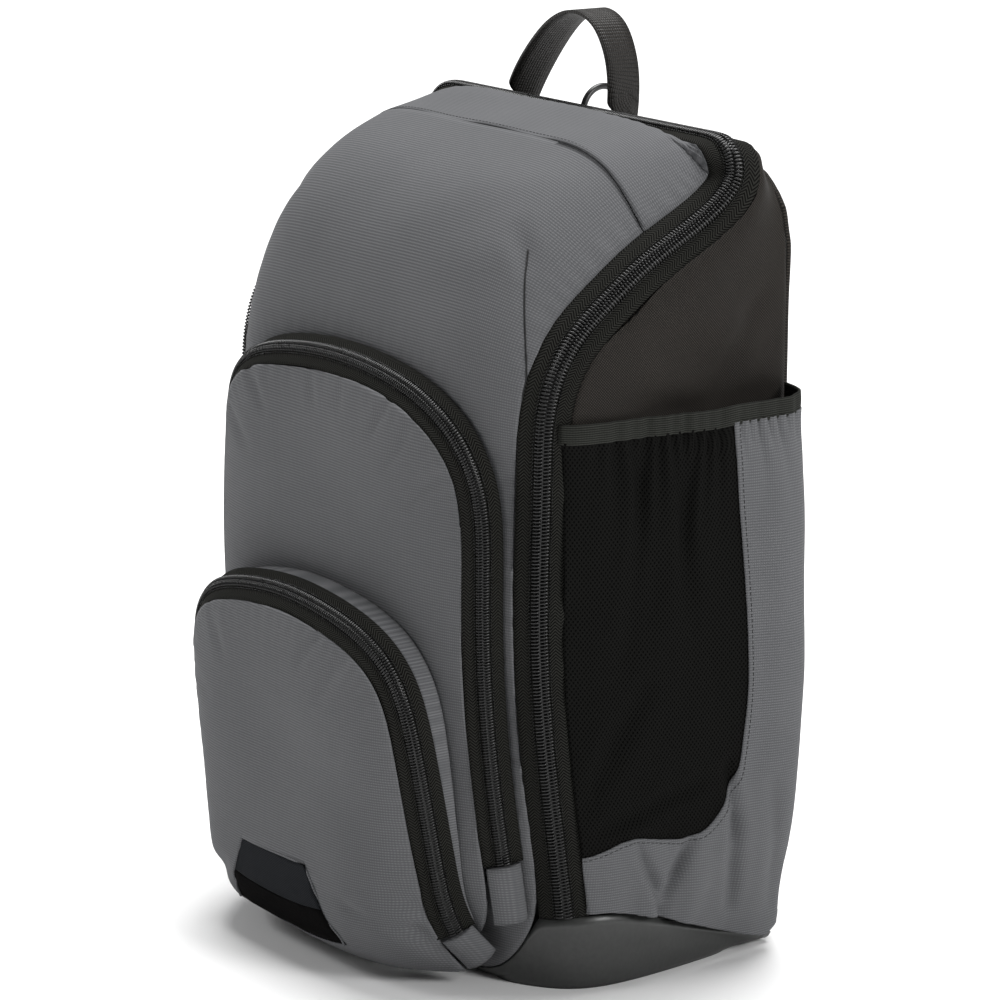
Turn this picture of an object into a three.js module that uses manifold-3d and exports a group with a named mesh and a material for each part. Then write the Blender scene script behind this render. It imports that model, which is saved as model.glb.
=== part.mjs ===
// A baseball bat backpack, in millimetres: +Z is up, -Y is the front with the two zipped pockets,
// +Y is the back with the straps, and the origin is the middle of the base.
// Every cloth piece is a thin shell with a wall of its own, laid edge to edge with its neighbours.
import * as THREE from 'three';
import { mergeVertices } from 'three/addons/utils/BufferGeometryUtils.js';
import Module from 'manifold-3d';

const wasm = await Module();
wasm.setup();

// Body
const BODY_WIDTH = 314;
const BODY_DEPTH = 184;
const BODY_HEIGHT = 490;
const BACK_INSET = 6;
const BACK_HEIGHT = 470;
const BACK_CORNER = 46;
const TOP_CORNER = 20;
const BOOT_TUCK = 7;

// Cloth
const CLOTH = 2;
const TAPE = 1.6;
const BACK_PAD = 10;
const SEAM_GAP = 0.4;
const LAY_GAP = 0.35;
const SEAT_GAP = 0.8;

// Zips
const MAIN_TAPE_WIDTH = 30;
const MAIN_COIL_WIDTH = 10;
const MAIN_BEND = 38;
const POCKET_TAPE_WIDTH = 24;
const POCKET_COIL_WIDTH = 8;
const POCKET_BEND = 40;
const COIL_HEIGHT = 2.2;
const COIL_SEAT = 0.6;
const TAB_HEIGHT = 2.6;

// Middle and lower pocket
const MIDDLE_WIDTH = 256;
const MIDDLE_HEIGHT = 357;
const MIDDLE_CROWN = 11;
const LOWER_WIDTH = 222;
const LOWER_HEIGHT = 222;
const LOWER_CROWN = 12;
const LOWER_STAND = 13;
const POCKET_FOOT = 5;

// Window at the foot of the lower pocket
const WINDOW_TOP_WIDTH = 64;
const WINDOW_FOOT_WIDTH = 112;
const WINDOW_FOOT = 16;
const WINDOW_TOP = 66;
const WINDOW_SPLIT = 0.46;
const WINDOW_BOW = 6;

// Bat pockets
const BAT_POCKET_TOP = 330;
const BAT_POCKET_ROOM = 30;
const MESH_PANEL_FOOT = 78;
const MESH_PANEL_REAR = 36;
const MESH_PANEL_TAPER = 18;
const MESH_PANEL_RISE = 10;
const MESH_PANEL_CORNER = 34;
const BAND_HEIGHT = 10;
const BAND_THICK = 2.6;

// Carrying
const HANDLE_SPAN = 97;
const HANDLE_RISE = 60;
const WEBBING_WIDTH = 25;
const WEBBING_THICK = 2;
const HOOK_WIDTH = 30;
const HOOK_ROD = 4.5;
const HOOK_DROP = 32;
const HANDLE_OFFSET = -40;
const HOOK_OFFSET = -58;
const STRAP_WIDTH = 68;
const STRAP_THICK = 11;
const STRAP_STAND = 20;
const LOCK_WIDTH = 36;
const LOCK_THICK = 4;
const ANCHOR_THICK = 2;

// Zip sliders
const SLIDER_WIDTH = 9;
const SLIDER_LENGTH = 11;
const SLIDER_THICK = 3.5;

const HALF = BODY_WIDTH / 2;
const BACK_WIDTH = BODY_WIDTH - 2 * BACK_INSET;
const BACK_Y = BODY_DEPTH / 2;

const CLOTH_GRAY = { color: 0x5f6062, roughness: 0.85, metalness: 0 };
const CLOTH_LID = { color: 0x7b7c7e, roughness: 0.85, metalness: 0 };
const TWILL_BLACK = { color: 0x242322, roughness: 0.8, metalness: 0 };
const COATED_BLACK = { color: 0x2d2d2c, roughness: 0.45, metalness: 0 };
const TAPE_BLACK = { color: 0x161616, roughness: 0.85, metalness: 0 };
const COIL_BLACK = { color: 0x1d1d1d, roughness: 0.35, metalness: 0 };
const MESH_BLACK = { color: 0x111111, roughness: 0.9, metalness: 0 };
const HARD_BLACK = { color: 0x141414, roughness: 0.4, metalness: 0 };

const bag = new THREE.Group();

function vec(x, y, z) {
  return new THREE.Vector3(x, y, z);
}

function add(name, geometry, finish) {
  const mesh = new THREE.Mesh(geometry, new THREE.MeshStandardMaterial(finish));
  mesh.name = name;
  bag.add(mesh);
  return mesh;
}

// Geometry from a list of points and a list of triangles
function solid(points, triangles) {
  const geometry = new THREE.BufferGeometry();
  const flat = points.flatMap((p) => [p.x, p.y, p.z]);
  geometry.setAttribute('position', new THREE.Float32BufferAttribute(flat, 3));
  geometry.setIndex(triangles);
  geometry.computeVertexNormals();
  return geometry;
}

// Two triangles on each cell of a grid of rows, whose vertices start at the index first
function cells(rowCount, columnCount, first, wrap, flip) {
  const triangles = [];
  const last = wrap ? columnCount : columnCount - 1;
  for (let i = 0; i < rowCount - 1; i += 1) {
    for (let j = 0; j < last; j += 1) {
      const k = (j + 1) % columnCount;
      const a = first + i * columnCount + j;
      const b = first + i * columnCount + k;
      const c = first + (i + 1) * columnCount + k;
      const d = first + (i + 1) * columnCount + j;
      triangles.push(...(flip ? [a, c, b, a, d, c] : [a, b, c, a, c, d]));
    }
  }
  return triangles;
}

// A thin shell: rows of outer points, and the same rows moved inwards by the wall.
// Columns run round with the outside on the left of column x row; a lean holds the edge normals.
function shell(rows, wall, { wrap = false, lean = null, cap = null } = {}) {
  const rowCount = rows.length;
  const columnCount = rows[0].length;
  const outer = rows.flat();
  const skin = cells(rowCount, columnCount, 0, wrap, false);
  const tip = cap === null ? -1 : outer.length;
  if (cap !== null) {
    outer.push(cap);
    for (let j = 0; j < columnCount; j += 1) {
      const k = (j + 1) % columnCount;
      const base = (rowCount - 1) * columnCount;
      skin.push(base + j, base + k, tip);
    }
  }
  const surface = solid(outer, skin);
  const normals = surface.getAttribute('normal');
  const inner = outer.map((p, i) => {
    const own = vec(normals.getX(i), normals.getY(i), normals.getZ(i)).normalize();
    const fixed = lean ? lean(Math.floor(i / columnCount), i % columnCount, own) : null;
    return p.clone().addScaledVector(fixed ?? own, -wall);
  });
  const count = outer.length;
  const triangles = [...skin];
  for (let i = 0; i < skin.length; i += 3) {
    triangles.push(count + skin[i], count + skin[i + 2], count + skin[i + 1]);
  }
  for (const [a, b] of border(skin)) {
    triangles.push(b, a, count + a, b, count + a, count + b);
  }
  return solid([...outer, ...inner], triangles);
}

// Edges that only one triangle of a skin uses, in that triangle's direction
function border(skin) {
  const seen = new Map();
  for (let i = 0; i < skin.length; i += 3) {
    for (let j = 0; j < 3; j += 1) {
      const a = skin[i + j];
      const b = skin[i + ((j + 1) % 3)];
      seen.set(`${a},${b}`, [a, b]);
    }
  }
  return [...seen.values()].filter(([a, b]) => !seen.has(`${b},${a}`));
}

// A closed section swept along stations; the section's points are [across, lift]
function sweep(stations, section) {
  const count = section.length;
  const points = stations.flatMap((s) => section.map(([across, lift]) =>
    s.point.clone().addScaledVector(s.across, across).addScaledVector(s.normal, lift)));
  const triangles = cells(stations.length, count, 0, true, true);
  const end = (stations.length - 1) * count;
  const outline = section.map(([a, b]) => new THREE.Vector2(a, b));
  const clockwise = THREE.ShapeUtils.isClockWise(outline);
  for (const face of THREE.ShapeUtils.triangulateShape(outline, [])) {
    const [a, b, c] = clockwise ? [face[0], face[2], face[1]] : face;
    triangles.push(a, b, c, end + a, end + c, end + b);
  }
  return outward(solid(points, triangles));
}

// A closed geometry whose faces are turned out if its volume comes out negative
function outward(geometry) {
  const p = geometry.getAttribute('position');
  const index = Array.from(geometry.getIndex().array);
  let volume = 0;
  for (let i = 0; i < index.length; i += 3) {
    const [a, b, c] = [0, 1, 2].map((k) => vec(0, 0, 0).fromBufferAttribute(p, index[i + k]));
    volume += a.dot(b.cross(c));
  }
  if (volume < 0) {
    for (let i = 0; i < index.length; i += 3) {
      [index[i + 1], index[i + 2]] = [index[i + 2], index[i + 1]];
    }
    geometry.setIndex(index);
    geometry.computeVertexNormals();
  }
  return geometry;
}

// Section of a zip tape that bends over a rounded edge, from one side to the other
function tapeSection(width, bend) {
  const steps = [-0.5, -0.2, 0.2, 0.5].map((share) => share * (width - SEAM_GAP));
  const sag = (a) => -a * a / (2 * bend);
  const top = steps.map((a) => [a, sag(a)]);
  const under = steps.map((a) => [a * (1 - TAPE / bend), sag(a) - TAPE]).reverse();
  return [...top, ...under];
}

function coilSection(width) {
  const half = width / 2;
  const low = COIL_SEAT;
  return [[-half, low], [-half * 0.6, low + COIL_HEIGHT], [half * 0.6, low + COIL_HEIGHT], [half, low]];
}

// Stations of a zip's centre line from the foot of the right side to the middle of the top.
// Rows give a place and the way the tape faces: turn from the front to the side, tip upwards.
function facing(turn, tip) {
  const t = THREE.MathUtils.degToRad(turn);
  const p = THREE.MathUtils.degToRad(tip);
  return vec(Math.sin(t) * Math.cos(p), -Math.cos(t) * Math.cos(p), Math.sin(p));
}

function arch(places) {
  const right = places.map((row) => ({ point: row.point, normal: facing(row.turn, row.tip), row }));
  const left = right.slice(0, -1).reverse().map((s) => ({
    point: s.point.clone().multiply(vec(-1, 1, 1)),
    normal: s.normal.clone().multiply(vec(-1, 1, 1)),
    row: s.row,
  }));
  const all = [...right, ...left];
  return all.map((s, i) => {
    const before = all[Math.max(i - 1, 0)].point;
    const after = all[Math.min(i + 1, all.length - 1)].point;
    const along = after.clone().sub(before).normalize();
    const across = along.clone().cross(s.normal).normalize();
    const normal = across.clone().cross(along).normalize();
    return { point: s.point, normal, across, along, row: s.row };
  });
}

// A tape's edge, a share of its width across from its centre line
function edge(stations, width, bend, side) {
  const reach = side * (width + SEAM_GAP) / 2;
  const drop = -reach * reach / (2 * bend);
  return stations.map((s) => s.point.clone().addScaledVector(s.across, reach).addScaledVector(s.normal, drop));
}

function edgeNormals(stations, width, bend, side) {
  const lean = side * width / 2 / bend;
  return stations.map((s) => s.normal.clone().addScaledVector(s.across, lean).normalize());
}

// Main zip and the panel inside it. up and mid_up are shares of the body's height, fore and
// mid_fore of its depth from the back, out of half its width; back runs 0 to 1 up the back edge's
// side and 1 to 2 round its corner; round is the power of the panel's crown.
const MAIN_ROWS = [
  { up: 0.092, fore: 0.826, out: 0.930, turn: 48, tip: 0, mid_up: 0.006, mid_fore: 0.940, round: 10, back: 0.000 },
  { up: 0.170, fore: 0.859, out: 0.938, turn: 48, tip: 0, mid_up: 0.120, mid_fore: 0.967, round: 7, back: 0.150 },
  { up: 0.267, fore: 0.902, out: 0.942, turn: 49, tip: 0, mid_up: 0.249, mid_fore: 1.000, round: 6, back: 0.290 },
  { up: 0.363, fore: 0.932, out: 0.943, turn: 50, tip: 0, mid_up: 0.363, mid_fore: 1.027, round: 6, back: 0.410 },
  { up: 0.457, fore: 0.946, out: 0.943, turn: 50, tip: 0, mid_up: 0.459, mid_fore: 1.043, round: 6, back: 0.520 },
  { up: 0.551, fore: 0.940, out: 0.943, turn: 50, tip: 2, mid_up: 0.559, mid_fore: 1.054, round: 6, back: 0.630 },
  { up: 0.633, fore: 0.934, out: 0.943, turn: 50, tip: 4, mid_up: 0.649, mid_fore: 1.060, round: 6, back: 0.730 },
  { up: 0.686, fore: 0.933, out: 0.943, turn: 50, tip: 6, mid_up: 0.710, mid_fore: 1.060, round: 6.5, back: 0.790 },
  { up: 0.726, fore: 0.910, out: 0.943, turn: 51, tip: 10, mid_up: 0.763, mid_fore: 1.049, round: 7, back: 0.830 },
  { up: 0.755, fore: 0.875, out: 0.943, turn: 52, tip: 14, mid_up: 0.810, mid_fore: 1.022, round: 7.5, back: 0.860 },
  { up: 0.782, fore: 0.826, out: 0.943, turn: 54, tip: 19, mid_up: 0.855, mid_fore: 0.978, round: 8, back: 0.885 },
  { up: 0.806, fore: 0.755, out: 0.943, turn: 57, tip: 24, mid_up: 0.896, mid_fore: 0.913, round: 8, back: 0.910 },
  { up: 0.832, fore: 0.658, out: 0.943, turn: 59, tip: 28, mid_up: 0.933, mid_fore: 0.826, round: 8, back: 0.930 },
  { up: 0.855, fore: 0.573, out: 0.943, turn: 61, tip: 30, mid_up: 0.961, mid_fore: 0.707, round: 8, back: 0.950 },
  { up: 0.874, fore: 0.478, out: 0.943, turn: 62, tip: 31, mid_up: 0.982, mid_fore: 0.565, round: 8, back: 0.965 },
  { up: 0.894, fore: 0.370, out: 0.943, turn: 62, tip: 32, mid_up: 0.992, mid_fore: 0.435, round: 7.5, back: 0.980 },
  { up: 0.913, fore: 0.277, out: 0.941, turn: 62, tip: 35, mid_up: 0.998, mid_fore: 0.375, round: 7, back: 1.000 },
  { up: 0.932, fore: 0.217, out: 0.938, turn: 60, tip: 42, mid_up: 1.001, mid_fore: 0.338, round: 6.5, back: 1.220 },
  { up: 0.945, fore: 0.190, out: 0.930, turn: 56, tip: 52, mid_up: 1.002, mid_fore: 0.310, round: 6, back: 1.400 },
];
const SEAM_ROW = 14;
// Turn of the main zip round its top corner, in shares of the corner; the lid falls to its edge
const CORNER_STEPS = [
  { share: 0.25, turn: 48, tip: 62, mid_up: 0.9990, mid_fore: 0.290, back: 1.55 },
  { share: 0.50, turn: 36, tip: 72, mid_up: 0.9945, mid_fore: 0.276, back: 1.70 },
  { share: 0.75, turn: 18, tip: 82, mid_up: 0.9885, mid_fore: 0.265, back: 1.85 },
  { share: 1.00, turn: 0, tip: 90, mid_up: 0.9806, mid_fore: 0.253, back: 2.00 },
];
const TOP_FORE = 0.170;
// Columns of the front and the lid, from the middle to the edge
const COLUMN_SHARES = [0, 0.22, 0.43, 0.62, 0.78, 0.90, 1];

function mainPlaces() {
  const places = MAIN_ROWS.map((row) => ({
    ...row,
    point: vec(row.out * HALF, BACK_Y - row.fore * BODY_DEPTH, row.up * BODY_HEIGHT),
  }));
  const start = places[places.length - 1];
  const centre = start.point.clone().add(vec(-TOP_CORNER, 0, 0));
  const topY = BACK_Y - TOP_FORE * BODY_DEPTH;
  for (const step of CORNER_STEPS) {
    const angle = step.share * Math.PI / 2;
    const y = THREE.MathUtils.lerp(start.point.y, topY, step.share);
    const point = vec(centre.x + TOP_CORNER * Math.cos(angle), y, centre.z + TOP_CORNER * Math.sin(angle));
    places.push({ ...start, ...step, point });
  }
  const corner = places[places.length - 1];
  const straight = COLUMN_SHARES.slice(0, -1).reverse();
  for (const share of straight) {
    const point = vec(corner.point.x * share, corner.point.y, corner.point.z);
    places.push({ ...corner, tip: 92, point, across_share: share });
  }
  return places;
}

const MAIN_SIDE_COUNT = MAIN_ROWS.length + CORNER_STEPS.length;
const mainStations = arch(mainPlaces());
const mainCount = mainStations.length;
const lidEdge = edge(mainStations, MAIN_TAPE_WIDTH, MAIN_BEND, -1);
const lidNormals = edgeNormals(mainStations, MAIN_TAPE_WIDTH, MAIN_BEND, -1);
const gussetEdge = edge(mainStations, MAIN_TAPE_WIDTH, MAIN_BEND, 1);
const gussetNormals = edgeNormals(mainStations, MAIN_TAPE_WIDTH, MAIN_BEND, 1);

add('main_zip_tape', sweep(mainStations, tapeSection(MAIN_TAPE_WIDTH, MAIN_BEND)), TAPE_BLACK);
add('main_zip_coil', sweep(mainStations, coilSection(MAIN_COIL_WIDTH)), COIL_BLACK);

// A row of the front or lid, from the left to the right lid edge, crowned towards its middle
function panelRow(index) {
  const right = lidEdge[index];
  const row = mainStations[index].row;
  const middle = vec(0, BACK_Y - row.mid_fore * BODY_DEPTH, row.mid_up * BODY_HEIGHT);
  const half = COLUMN_SHARES.map((share) => {
    const crown = 1 - share ** row.round;
    const x = right.x * share;
    return vec(x, THREE.MathUtils.lerp(right.y, middle.y, crown), THREE.MathUtils.lerp(right.z, middle.z, crown));
  });
  const left = half.slice(1).reverse().map((p) => p.clone().multiply(vec(-1, 1, 1)));
  return [...left, ...half];
}

function panelLean(first, rowCount) {
  const columns = 2 * COLUMN_SHARES.length - 1;
  return (i, j, own) => {
    if (first + i === MAIN_SIDE_COUNT - 1) {
      return lidNormals[mainCount - MAIN_SIDE_COUNT - j];
    }
    if (j !== 0 && j !== columns - 1) {
      return first + i === 0 ? level(own) : null;
    }
    const right = lidNormals[Math.min(first + i, first + rowCount - 1)];
    return j === 0 ? right.clone().multiply(vec(-1, 1, 1)) : right;
  };
}

function level(direction) {
  return vec(direction.x, direction.y, 0).normalize();
}

function between(rowA, rowB, share) {
  return rowA.map((p, j) => p.clone().lerp(rowB[j], share));
}

const frontRows = [];
for (let i = 0; i <= SEAM_ROW; i += 1) {
  frontRows.push(panelRow(i));
}
const seamStep = frontRows[SEAM_ROW][COLUMN_SHARES.length - 1]
  .distanceTo(frontRows[SEAM_ROW - 1][COLUMN_SHARES.length - 1]);
frontRows[SEAM_ROW] = between(frontRows[SEAM_ROW], frontRows[SEAM_ROW - 1], SEAM_GAP / seamStep);
add('front_panel', shell(frontRows, CLOTH, { lean: panelLean(0, frontRows.length) }), CLOTH_GRAY);

const lidRows = [];
for (let i = SEAM_ROW; i < MAIN_SIDE_COUNT; i += 1) {
  lidRows.push(panelRow(i));
}
const topFirst = MAIN_SIDE_COUNT - 1;
lidRows[lidRows.length - 1] = lidEdge.slice(topFirst, mainCount - topFirst).reverse();
add('top_panel', shell(lidRows, CLOTH, { lean: panelLean(SEAM_ROW, lidRows.length) }), CLOTH_LID);

// Outline of the back, at the same stations as the main zip
function backPoint(back, share) {
  const half = BACK_WIDTH / 2;
  const side = BACK_HEIGHT - BACK_CORNER;
  if (back <= 1) {
    return vec(half, BACK_Y, THREE.MathUtils.lerp(BOOT_TUCK, side, back));
  }
  const angle = (back - 1) * Math.PI / 2;
  const x = half - BACK_CORNER + BACK_CORNER * Math.cos(angle);
  const z = side + BACK_CORNER * Math.sin(angle);
  return share === undefined ? vec(x, BACK_Y, z) : vec(x * share, BACK_Y, z);
}

const backEdge = mainStations.map((s, i) => {
  const p = backPoint(s.row.back, s.row.across_share);
  return i < mainCount / 2 ? p : p.multiply(vec(-1, 1, 1));
});

// Gusset from the main zip's rear edge to the back: it leaves the zip along the tape and meets
// the back square on
const GUSSET_SHARES = [0, 0.12, 0.28, 0.46, 0.64, 0.82, 1];
const GUSSET_PULL = 0.75;

function hermite(a, tangentA, b, tangentB, t) {
  const t2 = t * t;
  const t3 = t2 * t;
  return a.clone().multiplyScalar(2 * t3 - 3 * t2 + 1)
    .addScaledVector(tangentA, t3 - 2 * t2 + t)
    .addScaledVector(b, 3 * t2 - 2 * t3)
    .addScaledVector(tangentB, t3 - t2);
}

function gussetLine(index) {
  const from = gussetEdge[index];
  const to = backEdge[index];
  const pull = from.distanceTo(to) * GUSSET_PULL;
  const leave = mainStations[index].along.clone().cross(gussetNormals[index]).normalize().multiplyScalar(pull);
  return { from, leave, to, arrive: vec(0, pull, 0) };
}

// A point of the gusset: level counts stations up the zip, share goes from the zip to the back
function gussetPoint(level, share) {
  const low = Math.min(Math.floor(level), mainCount - 2);
  const a = gussetLine(low);
  const b = gussetLine(low + 1);
  const pointA = hermite(a.from, a.leave, a.to, a.arrive, share);
  const pointB = hermite(b.from, b.leave, b.to, b.arrive, share);
  return pointA.lerp(pointB, level - low);
}

const PROBE = 0.01;

// Outward direction of the gusset at a point
function gussetNormal(level, share) {
  const ahead = Math.min(level + PROBE, mainCount - 1);
  const up = gussetPoint(ahead, share).sub(gussetPoint(ahead - PROBE, share));
  const aside = share > 0.5 ? share - PROBE : share;
  const across = gussetPoint(level, aside + PROBE).sub(gussetPoint(level, aside));
  return across.cross(up).normalize();
}

function gussetPanel(name, first, last, trimmed) {
  const rows = [];
  for (let i = first; i <= last; i += 1) {
    rows.push(GUSSET_SHARES.map((share) => gussetPoint(i, share)));
  }
  const trim = (row, next) => between(row, next, SEAM_GAP / row[0].distanceTo(next[0]));
  if (trimmed) {
    rows[0] = trim(rows[0], rows[1]);
    rows[rows.length - 1] = trim(rows[rows.length - 1], rows[rows.length - 2]);
  }
  const lean = (i, j, own) => {
    if (j === 0) {
      return gussetNormals[Math.min(first + i, last)];
    }
    if (i > 0 && i < rows.length - 1) {
      return null;
    }
    const foot = first + i === 0 || first + i === mainCount - 1;
    return foot ? level(own) : gussetNormal(first + i, GUSSET_SHARES[j]);
  };
  return add(name, shell(rows, CLOTH, { lean }), TWILL_BLACK);
}

const sideEnd = MAIN_SIDE_COUNT - 1;
const sideRight = gussetPanel('side_panel_right', 0, sideEnd, false);
const sideLeft = gussetPanel('side_panel_left', mainCount - 1 - sideEnd, mainCount - 1, false);
gussetPanel('top_gusset', sideEnd, mainCount - 1 - sideEnd, true);

// Padded back: a lid behind the gusset's rear edge, with rings of its outline as shares
const BACK_RINGS = [
  { share: 1.000, rise: 0 },
  { share: 1.000, rise: 0.45 },
  { share: 0.965, rise: 0.90 },
  { share: 0.900, rise: 1 },
  { share: 0.450, rise: 1 },
];
const FOOT_SHARES = [-0.75, -0.5, -0.25, 0, 0.25, 0.5, 0.75];

// Points across a loop's open foot, from its left end to its right end
function footLine(left, right, middle) {
  return FOOT_SHARES.map((share) => {
    const end = share < 0 ? left : right;
    return middle.clone().lerp(end, Math.abs(share));
  });
}

function ringed(contour, centre, rings, height) {
  return rings.map((ring) => contour.map((p) => {
    const q = centre.clone().lerp(p, ring.share);
    return vec(q.x, p.y + ring.rise * height, q.z);
  }));
}

function backPanel() {
  const [right, left] = [backEdge[0], backEdge[mainCount - 1]];
  const foot = footLine(left, right, vec(0, BACK_Y, right.z));
  const contour = [...backEdge, ...foot].map((p) => p.clone().add(vec(0, SEAM_GAP, 0)));
  const centre = vec(0, BACK_Y, BACK_HEIGHT / 2);
  const rows = ringed(contour, centre, BACK_RINGS, BACK_PAD);
  const count = contour.length;
  const triangles = cells(rows.length, count, 0, true, false);
  const points = [...rows.flat(), vec(0, BACK_Y + SEAM_GAP + BACK_PAD, centre.z)];
  points.push(vec(0, BACK_Y + SEAM_GAP, centre.z));
  const last = (rows.length - 1) * count;
  for (let j = 0; j < count; j += 1) {
    const k = (j + 1) % count;
    triangles.push(last + j, last + k, points.length - 2, k, j, points.length - 1);
  }
  return add('back_panel', outward(solid(points, triangles)), TWILL_BLACK);
}

const back = backPanel();

// Boot: a tray under the panels, high at its two front corners
const BOOT_RINGS = [
  { share: 0.992, up: 0.42 },
  { share: 0.965, up: 0 },
  { share: 0.800, up: 0 },
  { share: 0.400, up: 0 },
];

function boot() {
  const drop = vec(0, 0, -SEAT_GAP);
  const frontFoot = frontRows[0];
  const rightSide = GUSSET_SHARES.map((share) => gussetPoint(0, share));
  const leftSide = GUSSET_SHARES.map((share) => gussetPoint(mainCount - 1, share)).reverse();
  const backFoot = footLine(leftSide[0], rightSide[rightSide.length - 1], vec(0, BACK_Y, BOOT_TUCK)).reverse();
  const tapeRight = mainStations[0].point;
  const tapeLeft = mainStations[mainCount - 1].point;
  const top = [...frontFoot, tapeRight, ...rightSide, ...backFoot, ...leftSide, tapeLeft]
    .map((p) => p.clone().add(drop)).reverse();
  const rings = BOOT_RINGS.map((ring) => top.map((p) => vec(p.x * ring.share, p.y * ring.share, p.z * ring.up)));
  const lean = (i, j, own) => {
    if (i === 0) {
      return level(own);
    }
    return i > 1 ? vec(0, 0, -1) : null;
  };
  const rows = [top, ...rings];
  const geometry = shell(rows, CLOTH, { wrap: true, cap: vec(0, 0, 0), lean });
  return add('boot', outward(geometry), COATED_BLACK);
}

const bootPiece = boot();

// A ray along a direction to the first of some meshes: the point hit, or null
const caster = new THREE.Raycaster();

function reach(from, direction, meshes) {
  caster.set(from, direction);
  const hits = caster.intersectObjects(meshes, false);
  return hits.length > 0 ? hits[0].point : null;
}

// Depth of some meshes at a place seen from the front, or a fallback beside them
function depthAt(x, z, meshes, fallback) {
  const hit = reach(vec(x, -BODY_DEPTH * 3, z), vec(0, 1, 0), meshes);
  return hit ? hit.y : fallback;
}

// A pocket's zip: rows from its foot to the middle of its top. up is a share of the pocket's
// height, out of half its width; stand is how far its rear edge is off the body, in the lower
// pocket's LOWER_STAND.
const MIDDLE_ROWS = [
  { up: 0.12, out: 1.00, turn: 62, tip: 0 },
  { up: 0.22, out: 1.00, turn: 62, tip: 0 },
  { up: 0.34, out: 1.00, turn: 62, tip: 0 },
  { up: 0.46, out: 1.00, turn: 62, tip: 0 },
  { up: 0.57, out: 1.00, turn: 62, tip: 0 },
  { up: 0.68, out: 1.00, turn: 61, tip: 2 },
  { up: 0.765, out: 1.00, turn: 59, tip: 5 },
  { up: 0.835, out: 0.975, turn: 57, tip: 14 },
  { up: 0.885, out: 0.925, turn: 53, tip: 24 },
  { up: 0.925, out: 0.845, turn: 46, tip: 33 },
  { up: 0.955, out: 0.730, turn: 36, tip: 40 },
  { up: 0.975, out: 0.590, turn: 24, tip: 44 },
  { up: 0.988, out: 0.420, turn: 13, tip: 46 },
  { up: 0.997, out: 0.220, turn: 5, tip: 47 },
  { up: 1.000, out: 0, turn: 0, tip: 47 },
];
const LOWER_ROWS = [
  { up: 0.075, out: 1.00, stand: 0.023, turn: 62, tip: -12 },
  { up: 0.165, out: 1.00, stand: 0.238, turn: 62, tip: -10 },
  { up: 0.25, out: 1.00, stand: 0.369, turn: 62, tip: -8 },
  { up: 0.37, out: 1.00, stand: 0.531, turn: 62, tip: -6 },
  { up: 0.47, out: 1.00, stand: 0.654, turn: 62, tip: -5 },
  { up: 0.57, out: 1.000, stand: 0.762, turn: 62, tip: -3 },
  { up: 0.67, out: 0.990, stand: 0.869, turn: 61, tip: 0 },
  { up: 0.77, out: 0.965, stand: 0.962, turn: 57, tip: 10 },
  { up: 0.85, out: 0.910, stand: 1, turn: 50, tip: 22 },
  { up: 0.912, out: 0.800, stand: 1, turn: 38, tip: 34 },
  { up: 0.952, out: 0.650, stand: 1, turn: 24, tip: 42 },
  { up: 0.978, out: 0.450, stand: 1, turn: 13, tip: 46 },
  { up: 0.994, out: 0.220, stand: 1, turn: 5, tip: 48 },
  { up: 1.000, out: 0, stand: 1, turn: 0, tip: 48 },
];

// Stations of a pocket's zip, moved back until its rear edge stands a given way off the body
function pocketStations(rows, size, carriers) {
  const places = rows.map((row) => ({
    ...row,
    point: vec(row.out * size.width / 2, 0, row.up * size.height),
  }));
  const flat = arch(places);
  const probes = [-1, 0, 1].map((side) => edge(flat, POCKET_TAPE_WIDTH, POCKET_BEND, side));
  places.forEach((place, i) => {
    const seat = TAPE + SEAT_GAP + (place.stand ?? 0) * LOWER_STAND;
    const limits = probes.map((line) => depthAt(line[i].x, line[i].z, carriers, BACK_Y) - line[i].y);
    place.point.y = Math.min(...limits) - seat;
  });
  return arch(places);
}

const bodyFront = bag.children.filter((m) => m.name !== 'back_panel');
const middleSize = { width: MIDDLE_WIDTH, height: MIDDLE_HEIGHT };
bag.updateMatrixWorld(true);
const middleStations = pocketStations(MIDDLE_ROWS, middleSize, bodyFront);

// A pocket's face: rings from its zip's front edge and its foot line to its middle
const FACE_SHARES = [1, 0.94, 0.84, 0.66, 0.40];

function pocketFace(name, stations, foot, middle, crownPower) {
  const front = edge(stations, POCKET_TAPE_WIDTH, POCKET_BEND, -1);
  const leans = edgeNormals(stations, POCKET_TAPE_WIDTH, POCKET_BEND, -1);
  const contour = [...front, ...foot];
  const rings = FACE_SHARES.map((share) => contour.map((p) => {
    const q = middle.clone().lerp(p, share);
    return vec(q.x, THREE.MathUtils.lerp(p.y, middle.y, 1 - share ** crownPower), q.z);
  }));
  const lean = (i, j) => (i === 0 && j < leans.length ? leans[j] : null);
  const geometry = shell(rings, CLOTH, { wrap: true, cap: middle.clone(), lean });
  return add(name, outward(geometry), CLOTH_GRAY);
}

function pocketZip(name, stations, tabName) {
  const tape = add(`${name}_zip_tape`, sweep(stations, tapeSection(POCKET_TAPE_WIDTH, POCKET_BEND)), TAPE_BLACK);
  const coil = stations.slice(1, -1);
  add(`${name}_zip_coil`, sweep(coil, coilSection(POCKET_COIL_WIDTH)), COIL_BLACK);
  const foot = stations.slice(0, 2);
  foot[1] = shortened(foot, coilClear(foot));
  add(`${tabName}_right`, sweep(foot, tabSection()), CLOTH_GRAY);
  const end = stations.slice(-2);
  end[0] = shortened([end[1], end[0]], coilClear(end));
  add(`${tabName}_left`, sweep(end, tabSection()), CLOTH_GRAY);
  return tape;
}

function coilClear(pair) {
  return 1 - 2 * SEAM_GAP / pair[0].point.distanceTo(pair[1].point);
}

function shortened(pair, share) {
  return { ...pair[1], point: pair[0].point.clone().lerp(pair[1].point, share) };
}

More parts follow.
